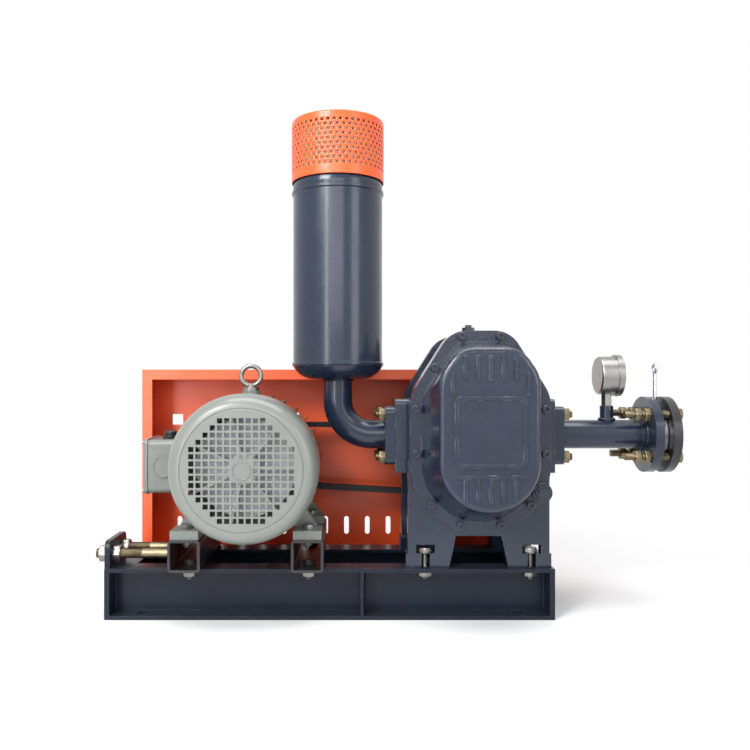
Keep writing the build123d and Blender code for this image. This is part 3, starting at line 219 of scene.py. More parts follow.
BLUE = (0.010, 0.017, 0.036)
ORANGE = (0.86, 0.105, 0.022)
MOTOR_GREY = (0.150, 0.166, 0.152)
MATERIALS = {
    "blue_paint": surface("blue_enamel", BLUE, (0.20, 0.32), coat=0.30, coat_rough=0.10, specular=0.40,
                          edge_wear_and_highlight=(0.12, 0.14, 0.18), dust=(0.07, 0.08, 0.10), lumps=0.00010,
                          lump_scale=70.0, edge=0.0010),
    # The lighter edge colour here is partly worn paint and partly a painted highlight on the rib
    # edges.
    "blue_cast": surface("blue_enamel_on_casting", BLUE, (0.18, 0.30), coat=0.40, coat_rough=0.10,
                         specular=0.45, mottle=0.16, edge_wear_and_highlight=(0.24, 0.28, 0.36),
                         dust=(0.07, 0.08, 0.10), lumps=0.00050, lump_scale=110.0,
                         grain=600.0, grain_depth=0.00010, edge=0.0016),
    "black_paint": surface("black_enamel", (0.012, 0.012, 0.014), (0.28, 0.42), coat=0.2,
                           edge_wear_and_highlight=(0.16, 0.14, 0.12), lumps=0.00012, edge=0.0010),
    "orange_paint": surface("orange_enamel", ORANGE, (0.30, 0.42), coat=0.12, mottle=0.07,
                            edge_wear_and_highlight=(0.75, 0.22, 0.12), lumps=0.00006, edge=0.0008),
    "motor_paint": surface("motor_enamel_on_casting", MOTOR_GREY, (0.34, 0.46), coat=0.2,
                           mottle=0.07, lumps=0.00040, lump_scale=140.0, grain=500.0,
                           grain_depth=0.00010, edge_wear_and_highlight=(0.22, 0.22, 0.20), dust=(0.28, 0.28, 0.25),
                           edge=0.0012),
    "cowl_paint": surface("motor_enamel_on_sheet", (0.180, 0.197, 0.176), (0.30, 0.42), coat=0.3,
                          mottle=0.05, lumps=0.00006, edge=0.0007),
    "yellow_zinc": surface("yellow_zinc_plate", (0.22, 0.178, 0.112), (0.32, 0.50), metallic=1.0,
                           mottle=0.25, mottle_scale=60.0, edge=0.0004),
    "zinc_steel": surface("bright_zinc_plate", (0.25, 0.243, 0.225), (0.28, 0.46), metallic=1.0,
                          mottle=0.18, mottle_scale=70.0, edge=0.0004),
    "dark_bolt": surface("painted_screw", BLUE, (0.30, 0.42), coat=0.3, mottle=0.2,
                         mottle_scale=80.0, edge_wear_and_highlight=(0.30, 0.30, 0.30), edge=0.0004),
    "core_steel": surface("turned_steel", (0.42, 0.42, 0.42), (0.28, 0.44), metallic=1.0,
                          stretch=(1, 20, 1), edge=0.0004),
    "bearing_steel": surface("polished_steel", (0.62, 0.62, 0.64), (0.12, 0.22), metallic=1.0,
                             edge=0.0003),
    "gear_steel": surface("ground_gear_steel", (0.40, 0.40, 0.42), (0.24, 0.40), metallic=1.0,
                          stretch=(1, 12, 1), edge=0.0003),
    "rotor_iron": surface("machined_rotor_iron", (0.34, 0.34, 0.35), (0.32, 0.48), metallic=0.9,
                          stretch=(1, 8, 1), edge=0.0004),
    "pulley_iron": surface("machined_pulley_iron", (0.16, 0.16, 0.17), (0.34, 0.5), metallic=0.8,
                           mottle=0.25, mottle_scale=50.0, edge=0.0005),
    "fan_plastic": surface("pale_fan_plastic", (0.62, 0.63, 0.66), (0.42, 0.55), mottle=0.08,
                           edge=0.0006),
    "belt_rubber": surface("belt_fabric", (0.018, 0.018, 0.019), (0.65, 0.85), grain=1800.0,
                           grain_depth=0.00015, mottle=0.35, mottle_scale=120.0, edge=0.0004),
    "seal_rubber": surface("sealing_rubber", (0.02, 0.02, 0.02), (0.6, 0.8), edge=0.0003),
    "filter_felt": surface("filter_paper", (0.80, 0.76, 0.70), (0.85, 0.95), mottle=0.10,
                           mottle_scale=120.0, grain=2500.0, grain_depth=0.00015, edge=0.0003),
    "valve_steel": surface("machined_stainless", (0.52, 0.54, 0.58), (0.20, 0.36), metallic=1.0,
                           stretch=(6, 1, 1), edge=0.0004),
    "gauge_steel": surface("satin_stainless", (0.33, 0.32, 0.31), (0.26, 0.36), metallic=1.0,
                           mottle=0.05, mottle_scale=50.0, grain_depth=0.000008, edge=0.0006),
    "dial_white": surface("dial_enamel", (0.85, 0.85, 0.83), (0.4, 0.5), mottle=0.03, edge=0.0002),
    "clear_glass": clear_glass("gauge_window"),
    "needle_black": surface("needle_enamel", (0.012, 0.012, 0.012), (0.35, 0.45), edge=0.0002),
}
# A darker, duller copy of the blue enamel for the base frame: its darker colour is painted shade under
# the machine.
SHADED_FRAME_PAINT = surface("blue_enamel_shaded_frame", (0.006, 0.010, 0.021), (0.30, 0.44), coat=0.10,
                      specular=0.22, edge_wear_and_highlight=(0.10, 0.11, 0.14), dust=(0.05, 0.06, 0.07),
                      lumps=0.00010, lump_scale=70.0, edge=0.0010)
RED_MARK = surface("red_mark", (0.55, 0.02, 0.02), (0.4, 0.5), edge=0.0001)

slots = {part["node"]: part["material_slot"] for part in frame["record"]["subparts"]}
for node, obj in frame["nodes"].items():
    obj.data.materials.clear()
    obj.data.materials.append(MATERIALS[slots[node]])
frame["nodes"]["oil_sight_plug"].data.materials[0] = MATERIALS["dark_bolt"]
# The base frame takes the darker enamel copy, which paints shade on it.
frame["nodes"]["base_frame"].data.materials[0] = SHADED_FRAME_PAINT


def place(x, y, z, direction=(0, 0, 1)):
    """A frame at a point in millimetres, with its local Z along the direction."""
    turn = Vector((0, 0, 1)).rotation_difference(Vector(direction)).to_matrix().to_4x4()
    return Matrix.Translation(Vector((x, y, z)) * MM) @ turn


def piece(name, bm, body, slot, smooth=35.0, mat=None, replaces=()):
    """Turns a mesh in the row frame into a named object that rides on a body."""
    bmesh.ops.recalc_face_normals(bm, faces=bm.faces)
    mesh = bpy.data.meshes.new(name)
    bm.to_mesh(mesh)
    bm.free()
    mesh.shade_smooth()
    mesh.set_sharp_from_angle(angle=math.radians(smooth))
    obj = bpy.data.objects.new(name, mesh)
    bpy.context.scene.collection.objects.link(obj)
    mesh.materials.append(mat or MATERIALS[slot])
    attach(obj, body)
    if replaces:
        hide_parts(*replaces)
    return obj


def ring_vertices(bm, rings, at):
    """Vertices for rings of points (mm, local), one list for each ring."""
    return [[bm.verts.new(at @ (Vector(p) * MM)) for p in ring] for ring in rings]


def loops(bm, rings, at):
    """Joins rings of points (mm, local) into a tube with flat ends."""
    made = ring_vertices(bm, rings, at)
    count = len(made[0])
    for a, b in zip(made, made[1:]):
        for i in range(count):
            j = (i + 1) % count
            bm.faces.new((a[i], a[j], b[j], b[i]))
    bm.faces.new(list(reversed(made[0])))
    bm.faces.new(made[-1])


def circle(radius, z, count=24):
    return [(radius * math.cos(2 * math.pi * i / count), radius * math.sin(2 * math.pi * i / count), z)
            for i in range(count)]


def hexagon(across, z, limit=None, count=24):
    """A hexagon by its width across flats, its corners cut back to the limit radius."""
    points = []
    for i in range(count):
        angle = 2 * math.pi * i / count
        local = (angle + math.pi / 6) % (math.pi / 3) - math.pi / 6
        radius = across / 2 / math.cos(local)
        if limit:
            radius = min(radius, limit)
        points.append((radius * math.cos(angle), radius * math.sin(angle), z))
    return points


def hex_head(bm, at, across, height, both=False):
    """A hexagon chamfered on top, or at both ends for a nut."""
    drop = across * 0.06
    rim = across / 2
    rings = []
    if both:
        rings += [hexagon(across, 0, rim), hexagon(across, drop)]
    else:
        rings.append(hexagon(across, 0))
    rings += [hexagon(across, height - drop), hexagon(across, height, rim)]
    loops(bm, rings, at)


def shaft(bm, at, radius, length):
    chamfer = 0.8
    count = 20
    loops(bm, [circle(radius - chamfer, 0, count), circle(radius, chamfer, count),
               circle(radius, length - chamfer, count), circle(radius - chamfer, length, count)], at)


def threaded(bm, at, radius, length, pitch=1.75):
    """A screw thread as a true helix: the crest climbs one pitch in each turn."""
    depth = pitch * 0.5
    count = 20
    rings = []
    steps = max(2, int(length / (pitch / 4)))
    for k in range(steps + 1):
        z = length * k / steps
        ring = []
        for i in range(count):
            phase = (z / pitch - i / count) % 1.0
            wave = abs(phase * 2 - 1)
            angle = 2 * math.pi * i / count
            r = radius - depth * wave
            ring.append((r * math.cos(angle), r * math.sin(angle), z))
        rings.append(ring)
    loops(bm, rings, at)


def washer(bm, at, outer, thickness):
    loops(bm, [circle(outer - 0.3, 0, 28), circle(outer, 0.3, 28), circle(outer, thickness - 0.3, 28),
               circle(outer - 0.3, thickness, 28)], at)


def socket_head(bm, at, radius, height, across, depth):
    loops(bm, [circle(radius, 0), circle(radius, height - 0.8), circle(radius - 0.8, height),
               hexagon(across, height), hexagon(across, height - depth)], at)


def weld_ring(bm, at, major, minor, around, turns, tube=10, ripple=0.16):
    """A closed bead whose thickness ripples a number of times round the ring."""
    rings = []
    for k in range(around):
        angle = 2 * math.pi * k / around
        swell = minor * (1 + ripple * math.sin(angle * turns))
        ring = []
        for i in range(tube):
            phase = 2 * math.pi * i / tube
            r = major + swell * math.cos(phase)
            ring.append((r * math.cos(angle), r * math.sin(angle), swell * math.sin(phase)))
        rings.append(ring)
    made = ring_vertices(bm, rings, at)
    for k in range(around):
        a = made[k]
        b = made[(k + 1) % around]
        for i in range(tube):
            j = (i + 1) % tube
            bm.faces.new((a[i], a[j], b[j], b[i]))


def lathe(bm, at, profile, count=96, close=True):
    """Turns a profile of (radius, height) round the local Z axis."""
    rings = [[(r * math.cos(2 * math.pi * k / count), r * math.sin(2 * math.pi * k / count), h)
              for r, h in profile] for k in range(count)]
    made = ring_vertices(bm, rings, at)
    size = len(profile)
    for k in range(count):
        a = made[k]
        b = made[(k + 1) % count]
        for i in range(size if close else size - 1):
            j = (i + 1) % size
            bm.faces.new((a[i], a[j], b[j], b[i]))
    bmesh.ops.remove_doubles(bm, verts=bm.verts, dist=1e-7)


def box(bm, low, high):
    corners = [(x, y, z) for x in (low[0], high[0])
               for y in (low[1], high[1])
               for z in (low[2], high[2])]
    v = [bm.verts.new(Vector(c) * MM) for c in corners]
    for face in ((0, 1, 3, 2), (4, 6, 7, 5), (0, 4, 5, 1), (2, 3, 7, 6), (0, 2, 6, 4), (1, 5, 7, 3)):
        bm.faces.new([v[i] for i in face])


def arc(cx, cy, rx, ry, start, end, steps):
    """Points along an elliptical arc, its angles in degrees."""
    points = []
    for k in range(steps + 1):
        angle = math.radians(start + (end - start) * k / steps)
        points.append((cx + rx * math.cos(angle), cy + ry * math.sin(angle)))
    return points


def evaluated_mesh(obj):
    """The object's mesh with its modifiers or text outline worked out."""
    bpy.context.view_layer.update()
    graph = bpy.context.evaluated_depsgraph_get()
    return bpy.data.meshes.new_from_object(obj.evaluated_get(graph))


def fan_cowl():
    """A rounded pressed cover with a stepped square grille, its hub and its screws."""
    at = place(MOTOR[0], COWL_BACK_Y, MOTOR[1], (0, -1, 0))
    outer = [(114, 0)] + arc(93.5, 48, 20.5, 29, 0, 88, 14)
    groove = [(93.2, 77.0), (92.2, 76.2), (91.2, 77.0), (90.4, 77.8), (0.001, 78)]
    inner_bend = arc(93.5, 48, 18.5, 27, 88, 0, 14)[1:]
    inner = [(0.001, 76), (90.5, 75.8), (93.5, 75.2)] + inner_bend + [(112, 0)]
    bm = bmesh.new()
    lathe(bm, at, outer + groove + inner, 128)
    obj = piece("fan_cowl_shell", bm, "motor_carriage", "cowl_paint", 30, replaces=("fan_cowl",))
    cutter = bmesh.new()
    pitch = 10.6
    hole = 7.6
    plain_hub = 15.5
    holes_in_row = [7, 9, 11, 13, 15, 15, 15, 15, 15, 15, 15, 13, 11, 9, 7]
    for row, width in enumerate(holes_in_row):
        z = MOTOR[1] + (len(holes_in_row) // 2 - row) * pitch
        for col in range(width):
            x = MOTOR[0] + (col - (width - 1) / 2) * pitch
            if math.hypot(x - MOTOR[0], z - MOTOR[1]) < plain_hub:
                continue
            box(cutter, (x - hole / 2, COWL_FACE_Y - 2, z - hole / 2),
                (x + hole / 2, COWL_FACE_Y + 4, z + hole / 2))
    bmesh.ops.recalc_face_normals(cutter, faces=cutter.faces)
    mesh = bpy.data.meshes.new("grille_cut")
    cutter.to_mesh(mesh)
    cutter.free()
    tool = bpy.data.objects.new("grille_cut", mesh)
    bpy.context.scene.collection.objects.link(tool)
    cut = obj.modifiers.new("cut", "BOOLEAN")
    cut.operation = "DIFFERENCE"
    cut.solver = "EXACT"
    cut.object = tool
    pierced = evaluated_mesh(obj)
    obj.modifiers.clear()
    obj.data = pierced
    pierced.set_sharp_from_angle(angle=math.radians(30))
    bpy.data.objects.remove(tool)
    ring = bmesh.new()
    hub = place(MOTOR[0], COWL_FACE_Y, MOTOR[1], (0, -1, 0))
    lathe(ring, hub, [(14.5, -0.5), (14.5, 1.0), (13.6, 1.6), (12.6, 1.0), (12.6, -0.5)], 48)
    piece("cowl_hub_ring", ring, "motor_carriage", "cowl_paint", 30)
    screws = bmesh.new()
    screw_radius = 113.6
    for angle in (45, 135, 225, 315):
        a = math.radians(angle)
        direction = (math.cos(a), 0, math.sin(a))
        spot = place(MOTOR[0] + screw_radius * math.cos(a), COWL_BACK_Y - 5,
                     MOTOR[1] + screw_radius * math.sin(a), direction)
        socket_head(screws, spot, 4.5, 2.6, 3.5, 1.6)
    piece("cowl_screws", screws, "motor_carriage", "zinc_steel")


fan_cowl()


def filter_cap():
    """A perforated wall in staggered rows between two plain bands, closed on top."""
    bm = bmesh.new()
    radius = CAP_RADIUS
    columns = 48
    rows = 10
    low = CAP_HOLES_Z
    pitch = 7.6
    hole_radius = 2.6
    step = 2 * math.pi / columns

    def at(theta, z, r=radius):
        return bm.verts.new(Vector((DRUM_X + r * math.cos(theta), r * math.sin(theta), z)) * MM)

    for row in range(rows):
        middle = low + (row + 0.5) * pitch
        offset = step / 2 * (row % 2)
        for col in range(columns):
            centre = col * step + offset
            frame_ring = []
            hole_ring = []
            for du, dv in ((1, 0), (1, 1), (0, 1), (-1, 1), (-1, 0), (-1, -1), (0, -1), (1, -1)):
                frame_ring.append(at(centre + du * step / 2, middle + dv * pitch / 2))
                size = hole_radius / math.hypot(du, dv)
                hole_ring.append(at(centre + du * size / radius, middle + dv * size))
            for i in range(8):
                j = (i + 1) % 8
                bm.faces.new((frame_ring[i], frame_ring[j], hole_ring[j], hole_ring[i]))
    bmesh.ops.remove_doubles(bm, verts=bm.verts, dist=1e-6)
    top = low + rows * pitch
    edge = 3.0
    edge_arc = arc(radius - edge, CAP_TOP_Z - edge, edge, edge, 0, 90, 6)
    lathe(bm, place(DRUM_X, 0, 0), [(radius, top), (radius, CAP_TOP_Z - edge)] + edge_arc
          + [(40, CAP_TOP_Z), (0.001, CAP_TOP_Z)], 96, close=False)
    lathe(bm, place(DRUM_X, 0, 0), [(radius, CAP_BOTTOM_Z), (radius + 0.1, 709), (radius, low)], 96,
          close=False)
    obj = piece("filter_cap_perforated", bm, "base", "orange_paint", 40, replaces=("filter_cap",))
    solid = obj.modifiers.new("sheet", "SOLIDIFY")
    solid.thickness = 1.2 * MM
    solid.offset = -1
    obj.data = evaluated_mesh(obj)
    obj.modifiers.clear()


filter_cap()


def filter_element():
    """A ring of pleated paper behind the cap's holes."""
    bm = bmesh.new()
    pleats = 72
    count = pleats * 2
    rings = []
    for z in (725, 727, 804, 806):
        inset = 1.5 if z in (725, 806) else 0
        rings.append([((65.5 if i % 2 else 60.5) - inset, z, i) for i in range(count)])
    points = [[(r * math.cos(2 * math.pi * i / count), r * math.sin(2 * math.pi * i / count), z)
               for r, z, i in ring] for ring in rings]
    loops(bm, points, place(DRUM_X, 0, 0))
    piece("filter_element_pleated", bm, "base", "filter_felt", 20, replaces=("filter_element",))


filter_element()


def nut(bm, at, across, height):
    hex_head(bm, at, across, height, both=True)


FASTENER_PARTS = {"head": hex_head, "nut": nut, "thread": threaded, "shaft": shaft,
                  "washer": washer, "socket": socket_head}


def hex_set(name, body, slot, items, node):
    """Joins fastener parts, each a kind, a frame and sizes in mm, into the piece for a node."""
    bm = bmesh.new()
    for kind, at, *size in items:
        FASTENER_PARTS[kind](bm, at, *size)
    piece(name, bm, body, slot, 30, replaces=(node,))


items = []
for side in (-1, 1):
    for x, z in COVER_BOLTS:
        items.append(("socket", place(BLOWER_X + side * x, COVER_RIM_Y, PORT_Z + z, (0, -1, 0)),
                      6.5, 7, 6, 3.5))
hex_set("cover_cap_screws", "base", "dark_bolt", items, "gear_cover_bolts")

items = []
for y in ROD_YS:
    items.append(("thread", place(ROD_TIP_X, y, ROD_Z, (1, 0, 0)), 8, ROD_THREAD_LENGTH, 2.0))
    items.append(("shaft", place(ROD_TIP_X + ROD_THREAD_LENGTH, y, ROD_Z, (1, 0, 0)), 7.9, 51))
hex_set("tension_rods_threaded", "motor_carriage", "yellow_zinc", items, "tension_rods")
items = []
for y in ROD_YS:
    for x in ROD_NUT_XS:
        items.append(("nut", place(x, y, ROD_Z, (1, 0, 0)), 24, 12.8))
hex_set("tension_nuts_hex", "base", "zinc_steel", items, "tension_nuts")

items = []
for x in RAIL_XS:
    for y in RAIL_BOLT_YS:
        items.append(("head", place(x, y, RAIL_FLOOR_Z), 17, 7))
        items.append(("thread", place(x, y, RAIL_FLOOR_Z - 24), 5, 25, 1.5))
        items.append(("nut", place(x, y, FRAME_FLANGE_Z - 10), 17, 8))
        items.append(("washer", place(x, y, FRAME_FLANGE_Z - 2), 10, 2))
hex_set("rail_clamp_bolts_hex", "motor_carriage", "zinc_steel", items, "rail_clamp_bolts")
items = []
for x in RAIL_XS:
    for y in FOOT_YS:
        items.append(("head", place(x, y, MOTOR_FOOT_TOP_Z), 16, 6.5))
        items.append(("thread", place(x, y, RAIL_ROOF_Z - 12), 5, 20, 1.5))
        items.append(("nut", place(x, y, RAIL_ROOF_Z - 8), 16, 8))
hex_set("motor_foot_bolts_hex", "motor_carriage", "zinc_steel", items, "motor_foot_bolts")
items = []
for x in BLOWER_FOOT_XS:
    for y in BLOWER_FOOT_YS:
        items.append(("washer", place(x, y, BLOWER_FOOT_TOP_Z), 11.5, 1.2))
        items.append(("head", place(x, y, BLOWER_FOOT_TOP_Z + 1), 19, 7))
        items.append(("thread", place(x, y, BLOWER_FOOT_TOP_Z - 42), 6, 43))
        items.append(("nut", place(x, y, FRAME_FLANGE_Z - 10), 19, 10))
hex_set("blower_foot_bolts_hex", "base", "zinc_steel", items, "blower_foot_bolts")


def port_studs(name, node, face, direction):
    """Four studs, washers and nuts on a port's square flange, pointing along X."""
    parts = []
    for y in (-PORT_STUD_OFFSET, PORT_STUD_OFFSET):
        for z in (PORT_Z - PORT_STUD_OFFSET, PORT_Z + PORT_STUD_OFFSET):
            parts.append(("thread", place(face - direction * 16, y, z, (direction, 0, 0)), 6, 31))
            parts.append(("washer", place(face, y, z, (direction, 0, 0)), 11, 1.2))
            parts.append(("nut", place(face + direction * 1.0, y, z, (direction, 0, 0)), 19, 9))
    hex_set(name, "base", "yellow_zinc", parts, node)


port_studs("suction_studs_threaded", "suction_flange_studs", SUCTION_FACE_X, -1)
port_studs("discharge_studs_threaded", "discharge_flange_studs", DISCHARGE_FACE_X, 1)
items = []
nuts = []
for angle in (45, 135, 225, 315):
    y = FLANGE_BOLT_RADIUS * math.cos(math.radians(angle))
    z = PORT_Z + FLANGE_BOLT_RADIUS * math.sin(math.radians(angle))
    items.append(("thread", place(FLANGE_BOLT_TIP_X, y, z, (1, 0, 0)), 6.3, 85.2))
    items.append(("head", place(FLANGE_BOLT_HEAD_X, y, z, (1, 0, 0)), 19, 8))
    for x in FLANGE_NUT_XS:
        nuts.append(("nut", place(x, y, z, (1, 0, 0)), 20, 10))
hex_set("flange_bolts_threaded", "base", "yellow_zinc", items, "flange_bolts")
hex_set("flange_nuts_hex", "base", "yellow_zinc", nuts, "flange_nuts")
items = []
for x in GUARD_BOLT_XS:
    items.append(("head", place(x, GUARD_SHEET_Y, GUARD_BOLT_Z, (0, 1, 0)), 13, 5.5))
hex_set("guard_bolts_hex", "base", "zinc_steel", items, "guard_bolts")


def weld_rings():
    """Beads where the pipes meet their flanges, the gauge socket and the drum."""
    bm = bmesh.new()
    for x, major in ((105.6, 24.6), (382.6, 24.6), (525.6, 29.0)):
        weld_ring(bm, place(x, 0, PORT_Z, (1, 0, 0)), major, 2.2, 96, 34)
    weld_ring(bm, place(GAUGE_SOCKET_X, 0, PORT_Z + 25.5), 12.0, 2.2, 64, 18)
    weld_ring(bm, place(DRUM_X, 0, 377.5), 25.0, 2.0, 80, 30)
    piece("pipe_weld_beads", bm, "base", "blue_paint", 60)


weld_rings()


def weld_line(bm, start, end, radius, pitch=3.2):
    """A straight bead, rippled along its length and thin at its ends."""
    a = Vector(start)
    b = Vector(end)
    length = (b - a).length
    at = place(*a, (b - a).normalized())
    steps = max(2, int(length / (pitch / 4)))
    rings = []
    for k in range(steps + 1):
        swell = radius * (1 + 0.14 * math.sin(2 * math.pi * k / 4))
        rings.append(circle(swell if 0 < k < steps else radius * 0.5, length * k / steps, 10))
    loops(bm, rings, at)


def frame_welds():
    """Beads at the frame's stiffener and where its end plates meet the front channel."""
    bm = bmesh.new()
    low = 8
    high = 72
    for x in (50.5, 56.5):
        weld_line(bm, (x, FRAME_SIDE_Y, low), (x, FRAME_SIDE_Y, high), 1.8)
    for x in (-345.5, 345.5):
        weld_line(bm, (x, FRAME_SIDE_Y - 0.2, low), (x, FRAME_SIDE_Y - 0.2, high), 2.0)
    for x in (-FRAME_END_X, FRAME_END_X):
        weld_line(bm, (x, -94, FRAME_FLANGE_Z), (x, -60, FRAME_FLANGE_Z), 1.6)
    # The beads take the frame's darker enamel copy, painted shade.
    piece("frame_weld_beads", bm, "base", "blue_paint", 60, mat=SHADED_FRAME_PAINT)


frame_welds()


def terminal_box_details():
    """Lid screws, blind knockout and cable gland of the terminal box."""
    bm = bmesh.new()
    for y in (-24, 64):
        for z in (194, 274):
            socket_head(bm, place(BOX_LID_X, y, z, (-1, 0, 0)), 4, 2.4, 3.2, 1.5)
    piece("terminal_lid_screws", bm, "motor_carriage", "zinc_steel")
    bm = bmesh.new()
    lathe(bm, place(-275.0, -33.0, 234.0, (0, -1, 0)),
          [(0.001, -0.5), (17.4, -0.5), (17.4, 0.6), (16.4, 1.2), (15.2, 0.4), (0.001, 0.4)], 64)
    piece("terminal_knockout", bm, "motor_carriage", "motor_paint", 30)
    bm = bmesh.new()
    gland = place(-273.0, 12.0, 278.0)
    hex_head(bm, gland, 24, 5)
    lathe(bm, gland, [(9.5, 4.5), (9.5, 6.5), (10.6, 7.2), (10.6, 11.5), (8.5, 13.5), (5.5, 13.5),
                      (5.5, 5)], 32)
    piece("terminal_gland", bm, "motor_carriage", "needle_black", 30)


terminal_box_details()


def dial_angle(share):
    """The angle on the dial at a share of its scale, clockwise from its start."""
    return math.radians(DIAL_START_DEG - DIAL_SWEEP_DEG * share)


def dial_point(radius, angle):
    return Vector((DIAL_FACE_X, radius * math.cos(angle), GAUGE_Z + radius * math.sin(angle))) * MM


def dial_ticks():
    """Fifty spaces, with longer marks at every fifth and heavier ones at every tenth."""
    bm = bmesh.new()
    spaces = 50
    for k in range(spaces + 1):
        angle = dial_angle(k / spaces)
        long = k % 10 == 0
        inner = 22.5 if long else (24.5 if k % 5 == 0 else 25.5)
        outer = 28
        half = 0.55 if long else 0.28
        direction = Vector((0, math.cos(angle), math.sin(angle)))
        across = Vector((0, -math.sin(angle), math.cos(angle)))
        centre = Vector((DIAL_FACE_X, 0, GAUGE_Z))
        corners = [centre + direction * inner - across * half,
                   centre + direction * outer - across * half,
                   centre + direction * outer + across * half,
                   centre + direction * inner + across * half]
        bm.faces.new([bm.verts.new(c * MM) for c in corners])
    piece("dial_marks", bm, "base", "needle_black")


def dial_red_zone():
    """A red band over the last fifth of the scale."""
    bm = bmesh.new()
    steps = 24
    for k in range(steps):
        a0 = dial_angle(0.8 + 0.2 * k / steps)
        a1 = dial_angle(0.8 + 0.2 * (k + 1) / steps)
        corners = [(28.6, a0), (30.0, a0), (30.0, a1), (28.6, a1)]
        bm.faces.new([bm.verts.new(dial_point(r, a)) for r, a in corners])
    piece("dial_red_zone", bm, "base", "needle_black", mat=RED_MARK)


def dial_numbers():
    """Six even numbers, 0 to 10, as flat meshes."""
    spaces = 5
    radius = 18.0
    facing = Matrix(((0, 0, 1), (1, 0, 0), (0, 1, 0))).to_4x4()
    for k in range(spaces + 1):
        angle = dial_angle(k / spaces)
        curve = bpy.data.curves.new("digit", "FONT")
        curve.body = str(k * 2)
        curve.size = 6.0 * MM
        curve.align_x = "CENTER"
        curve.align_y = "CENTER"
        text = bpy.data.objects.new("digit", curve)
        bpy.context.scene.collection.objects.link(text)
        mesh = evaluated_mesh(text)
        bpy.data.objects.remove(text)
        mesh.transform(Matrix.Translation(dial_point(radius, angle)) @ facing)
        mesh.materials.clear()
        mesh.materials.append(MATERIALS["needle_black"])
        obj = bpy.data.objects.new("dial_number_" + str(k), mesh)
        bpy.context.scene.collection.objects.link(obj)
        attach(obj, "base")


dial_ticks()
dial_red_zone()
dial_numbers()


def background_rays(nodes, links):
    """One for the rays that should meet the plain white background."""
    path = nodes.new("ShaderNodeLightPath")
    result = path.outputs["Is Camera Ray"]
    for kind in ("Is Glossy Ray", "Is Transmission Ray"):
        either = nodes.new("ShaderNodeMath")
        either.operation = "MAXIMUM"
        links.new(result, either.inputs[0])
        links.new(path.outputs[kind], either.inputs[1])
        result = either.outputs["Value"]
    return result


def floor():
    """A pale floor that takes shadows near the part and fades to plain white further out."""
    mesh = bpy.data.meshes.new("floor")
    mesh.from_pydata([(-12, -8, 0), (12, -8, 0), (12, 30, 0), (-12, 30, 0)], [], [(0, 1, 2, 3)])
    obj = bpy.data.objects.new("floor", mesh)
    bpy.context.scene.collection.objects.link(obj)
    mat = bpy.data.materials.new("pale_floor")
    nodes, links = tree_of(mat)
    shader = nodes["Principled BSDF"]
    shader.inputs["Roughness"].default_value = 0.6
    coords = nodes.new("ShaderNodeTexCoord").outputs["Object"]
    haze = noise_node(nodes, links, coords, 3.0, 3.0)
    links.new(mixed(nodes, links, haze, (0.90, 0.90, 0.90), (0.93, 0.93, 0.93)),
              shader.inputs["Base Color"])
    glow = nodes.new("ShaderNodeEmission")
    glow.inputs["Color"].default_value = (1, 1, 1, 1)
    length = nodes.new("ShaderNodeVectorMath")
    length.operation = "LENGTH"
    links.new(coords, length.inputs[0])
    far = ranged(nodes, links, length.outputs["Value"], 0.42, 1.0, 0.0, 1.0)
    seen = nodes.new("ShaderNodeMath")
    seen.operation = "MULTIPLY"
    links.new(far, seen.inputs[0])
    links.new(background_rays(nodes, links), seen.inputs[1])
    mix = nodes.new("ShaderNodeMixShader")
    links.new(seen.outputs["Value"], mix.inputs["Fac"])
    links.new(shader.outputs["BSDF"], mix.inputs[1])
    links.new(glow.outputs["Emission"], mix.inputs[2])
    links.new(mix.outputs["Shader"], nodes["Material Output"].inputs["Surface"])
    mesh.materials.append(mat)


floor()


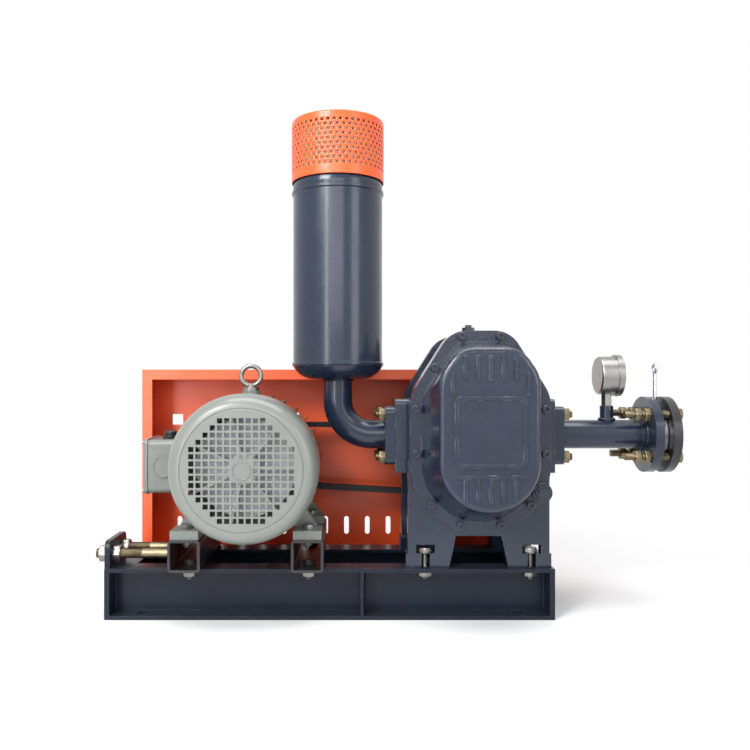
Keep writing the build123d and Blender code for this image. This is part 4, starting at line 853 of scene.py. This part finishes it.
def world():
    """Plain white behind the part, and a dimmer sky that lights it."""
    scene_world = bpy.data.worlds.new("studio")
    bpy.context.scene.world = scene_world
    scene_world.use_nodes = True
    nodes = scene_world.node_tree.nodes
    links = scene_world.node_tree.links
    dim = nodes["Background"]
    dim.inputs["Color"].default_value = (0.95, 0.97, 1.0, 1)
    dim.inputs["Strength"].default_value = 0.36
    white = nodes.new("ShaderNodeBackground")
    white.inputs["Color"].default_value = (1, 1, 1, 1)
    white.inputs["Strength"].default_value = 1.0
    mix = nodes.new("ShaderNodeMixShader")
    links.new(background_rays(nodes, links), mix.inputs["Fac"])
    links.new(dim.outputs["Background"], mix.inputs[1])
    links.new(white.outputs["Background"], mix.inputs[2])
    links.new(mix.outputs["Shader"], nodes["World Output"].inputs["Surface"])


world()


def area_light(name, spot, target, size, power):
    data = bpy.data.lights.new(name, "AREA")
    data.shape = "RECTANGLE"
    data.size = size[0]
    data.size_y = size[1]
    data.energy = power
    obj = bpy.data.objects.new(name, data)
    bpy.context.scene.collection.objects.link(obj)
    obj.location = spot
    obj.rotation_euler = (Vector(target) - Vector(spot)).to_track_quat("-Z", "Y").to_euler()


# Lights and camera are placed in metres
area_light("key_softbox", (-1.3, -2.0, 1.9), (0.0, 0.0, 0.35), (1.1, 1.1), 60)
area_light("fill_softbox", (1.9, -1.9, 1.0), (0.15, 0.0, 0.35), (0.9, 1.8), 16)
area_light("front_softbox", (-0.1, -2.6, 1.1), (0.0, 0.1, 0.25), (1.6, 0.9), 13)
area_light("strip_softbox", (-0.75, -1.5, 0.75), (0.1, 0.0, 0.45), (0.25, 1.6), 9)
area_light("top_softbox", (0.1, -0.2, 2.4), (0.1, 0.0, 0.3), (2.0, 1.2), 40)

# The photo's camera: level, with its focal length and shifts measured in pixels
PHOTO_PIXELS = 750
FOCAL_PIXELS = 787
camera_data = bpy.data.cameras.new("photo_camera")
camera_data.sensor_width = 36
camera_data.lens = FOCAL_PIXELS * camera_data.sensor_width / PHOTO_PIXELS
camera_data.shift_x = 30 / PHOTO_PIXELS
camera_data.shift_y = 10 / PHOTO_PIXELS
camera_data.clip_end = 100
camera = bpy.data.objects.new("photo_camera", camera_data)
bpy.context.scene.collection.objects.link(camera)
camera.location = (0.0242, -1.330, 0.369)
camera.rotation_euler = (math.radians(90), 0, 0)
bpy.context.scene.camera = camera
bpy.context.scene.view_settings.view_transform = "Standard"

bpy.context.view_layer.update()
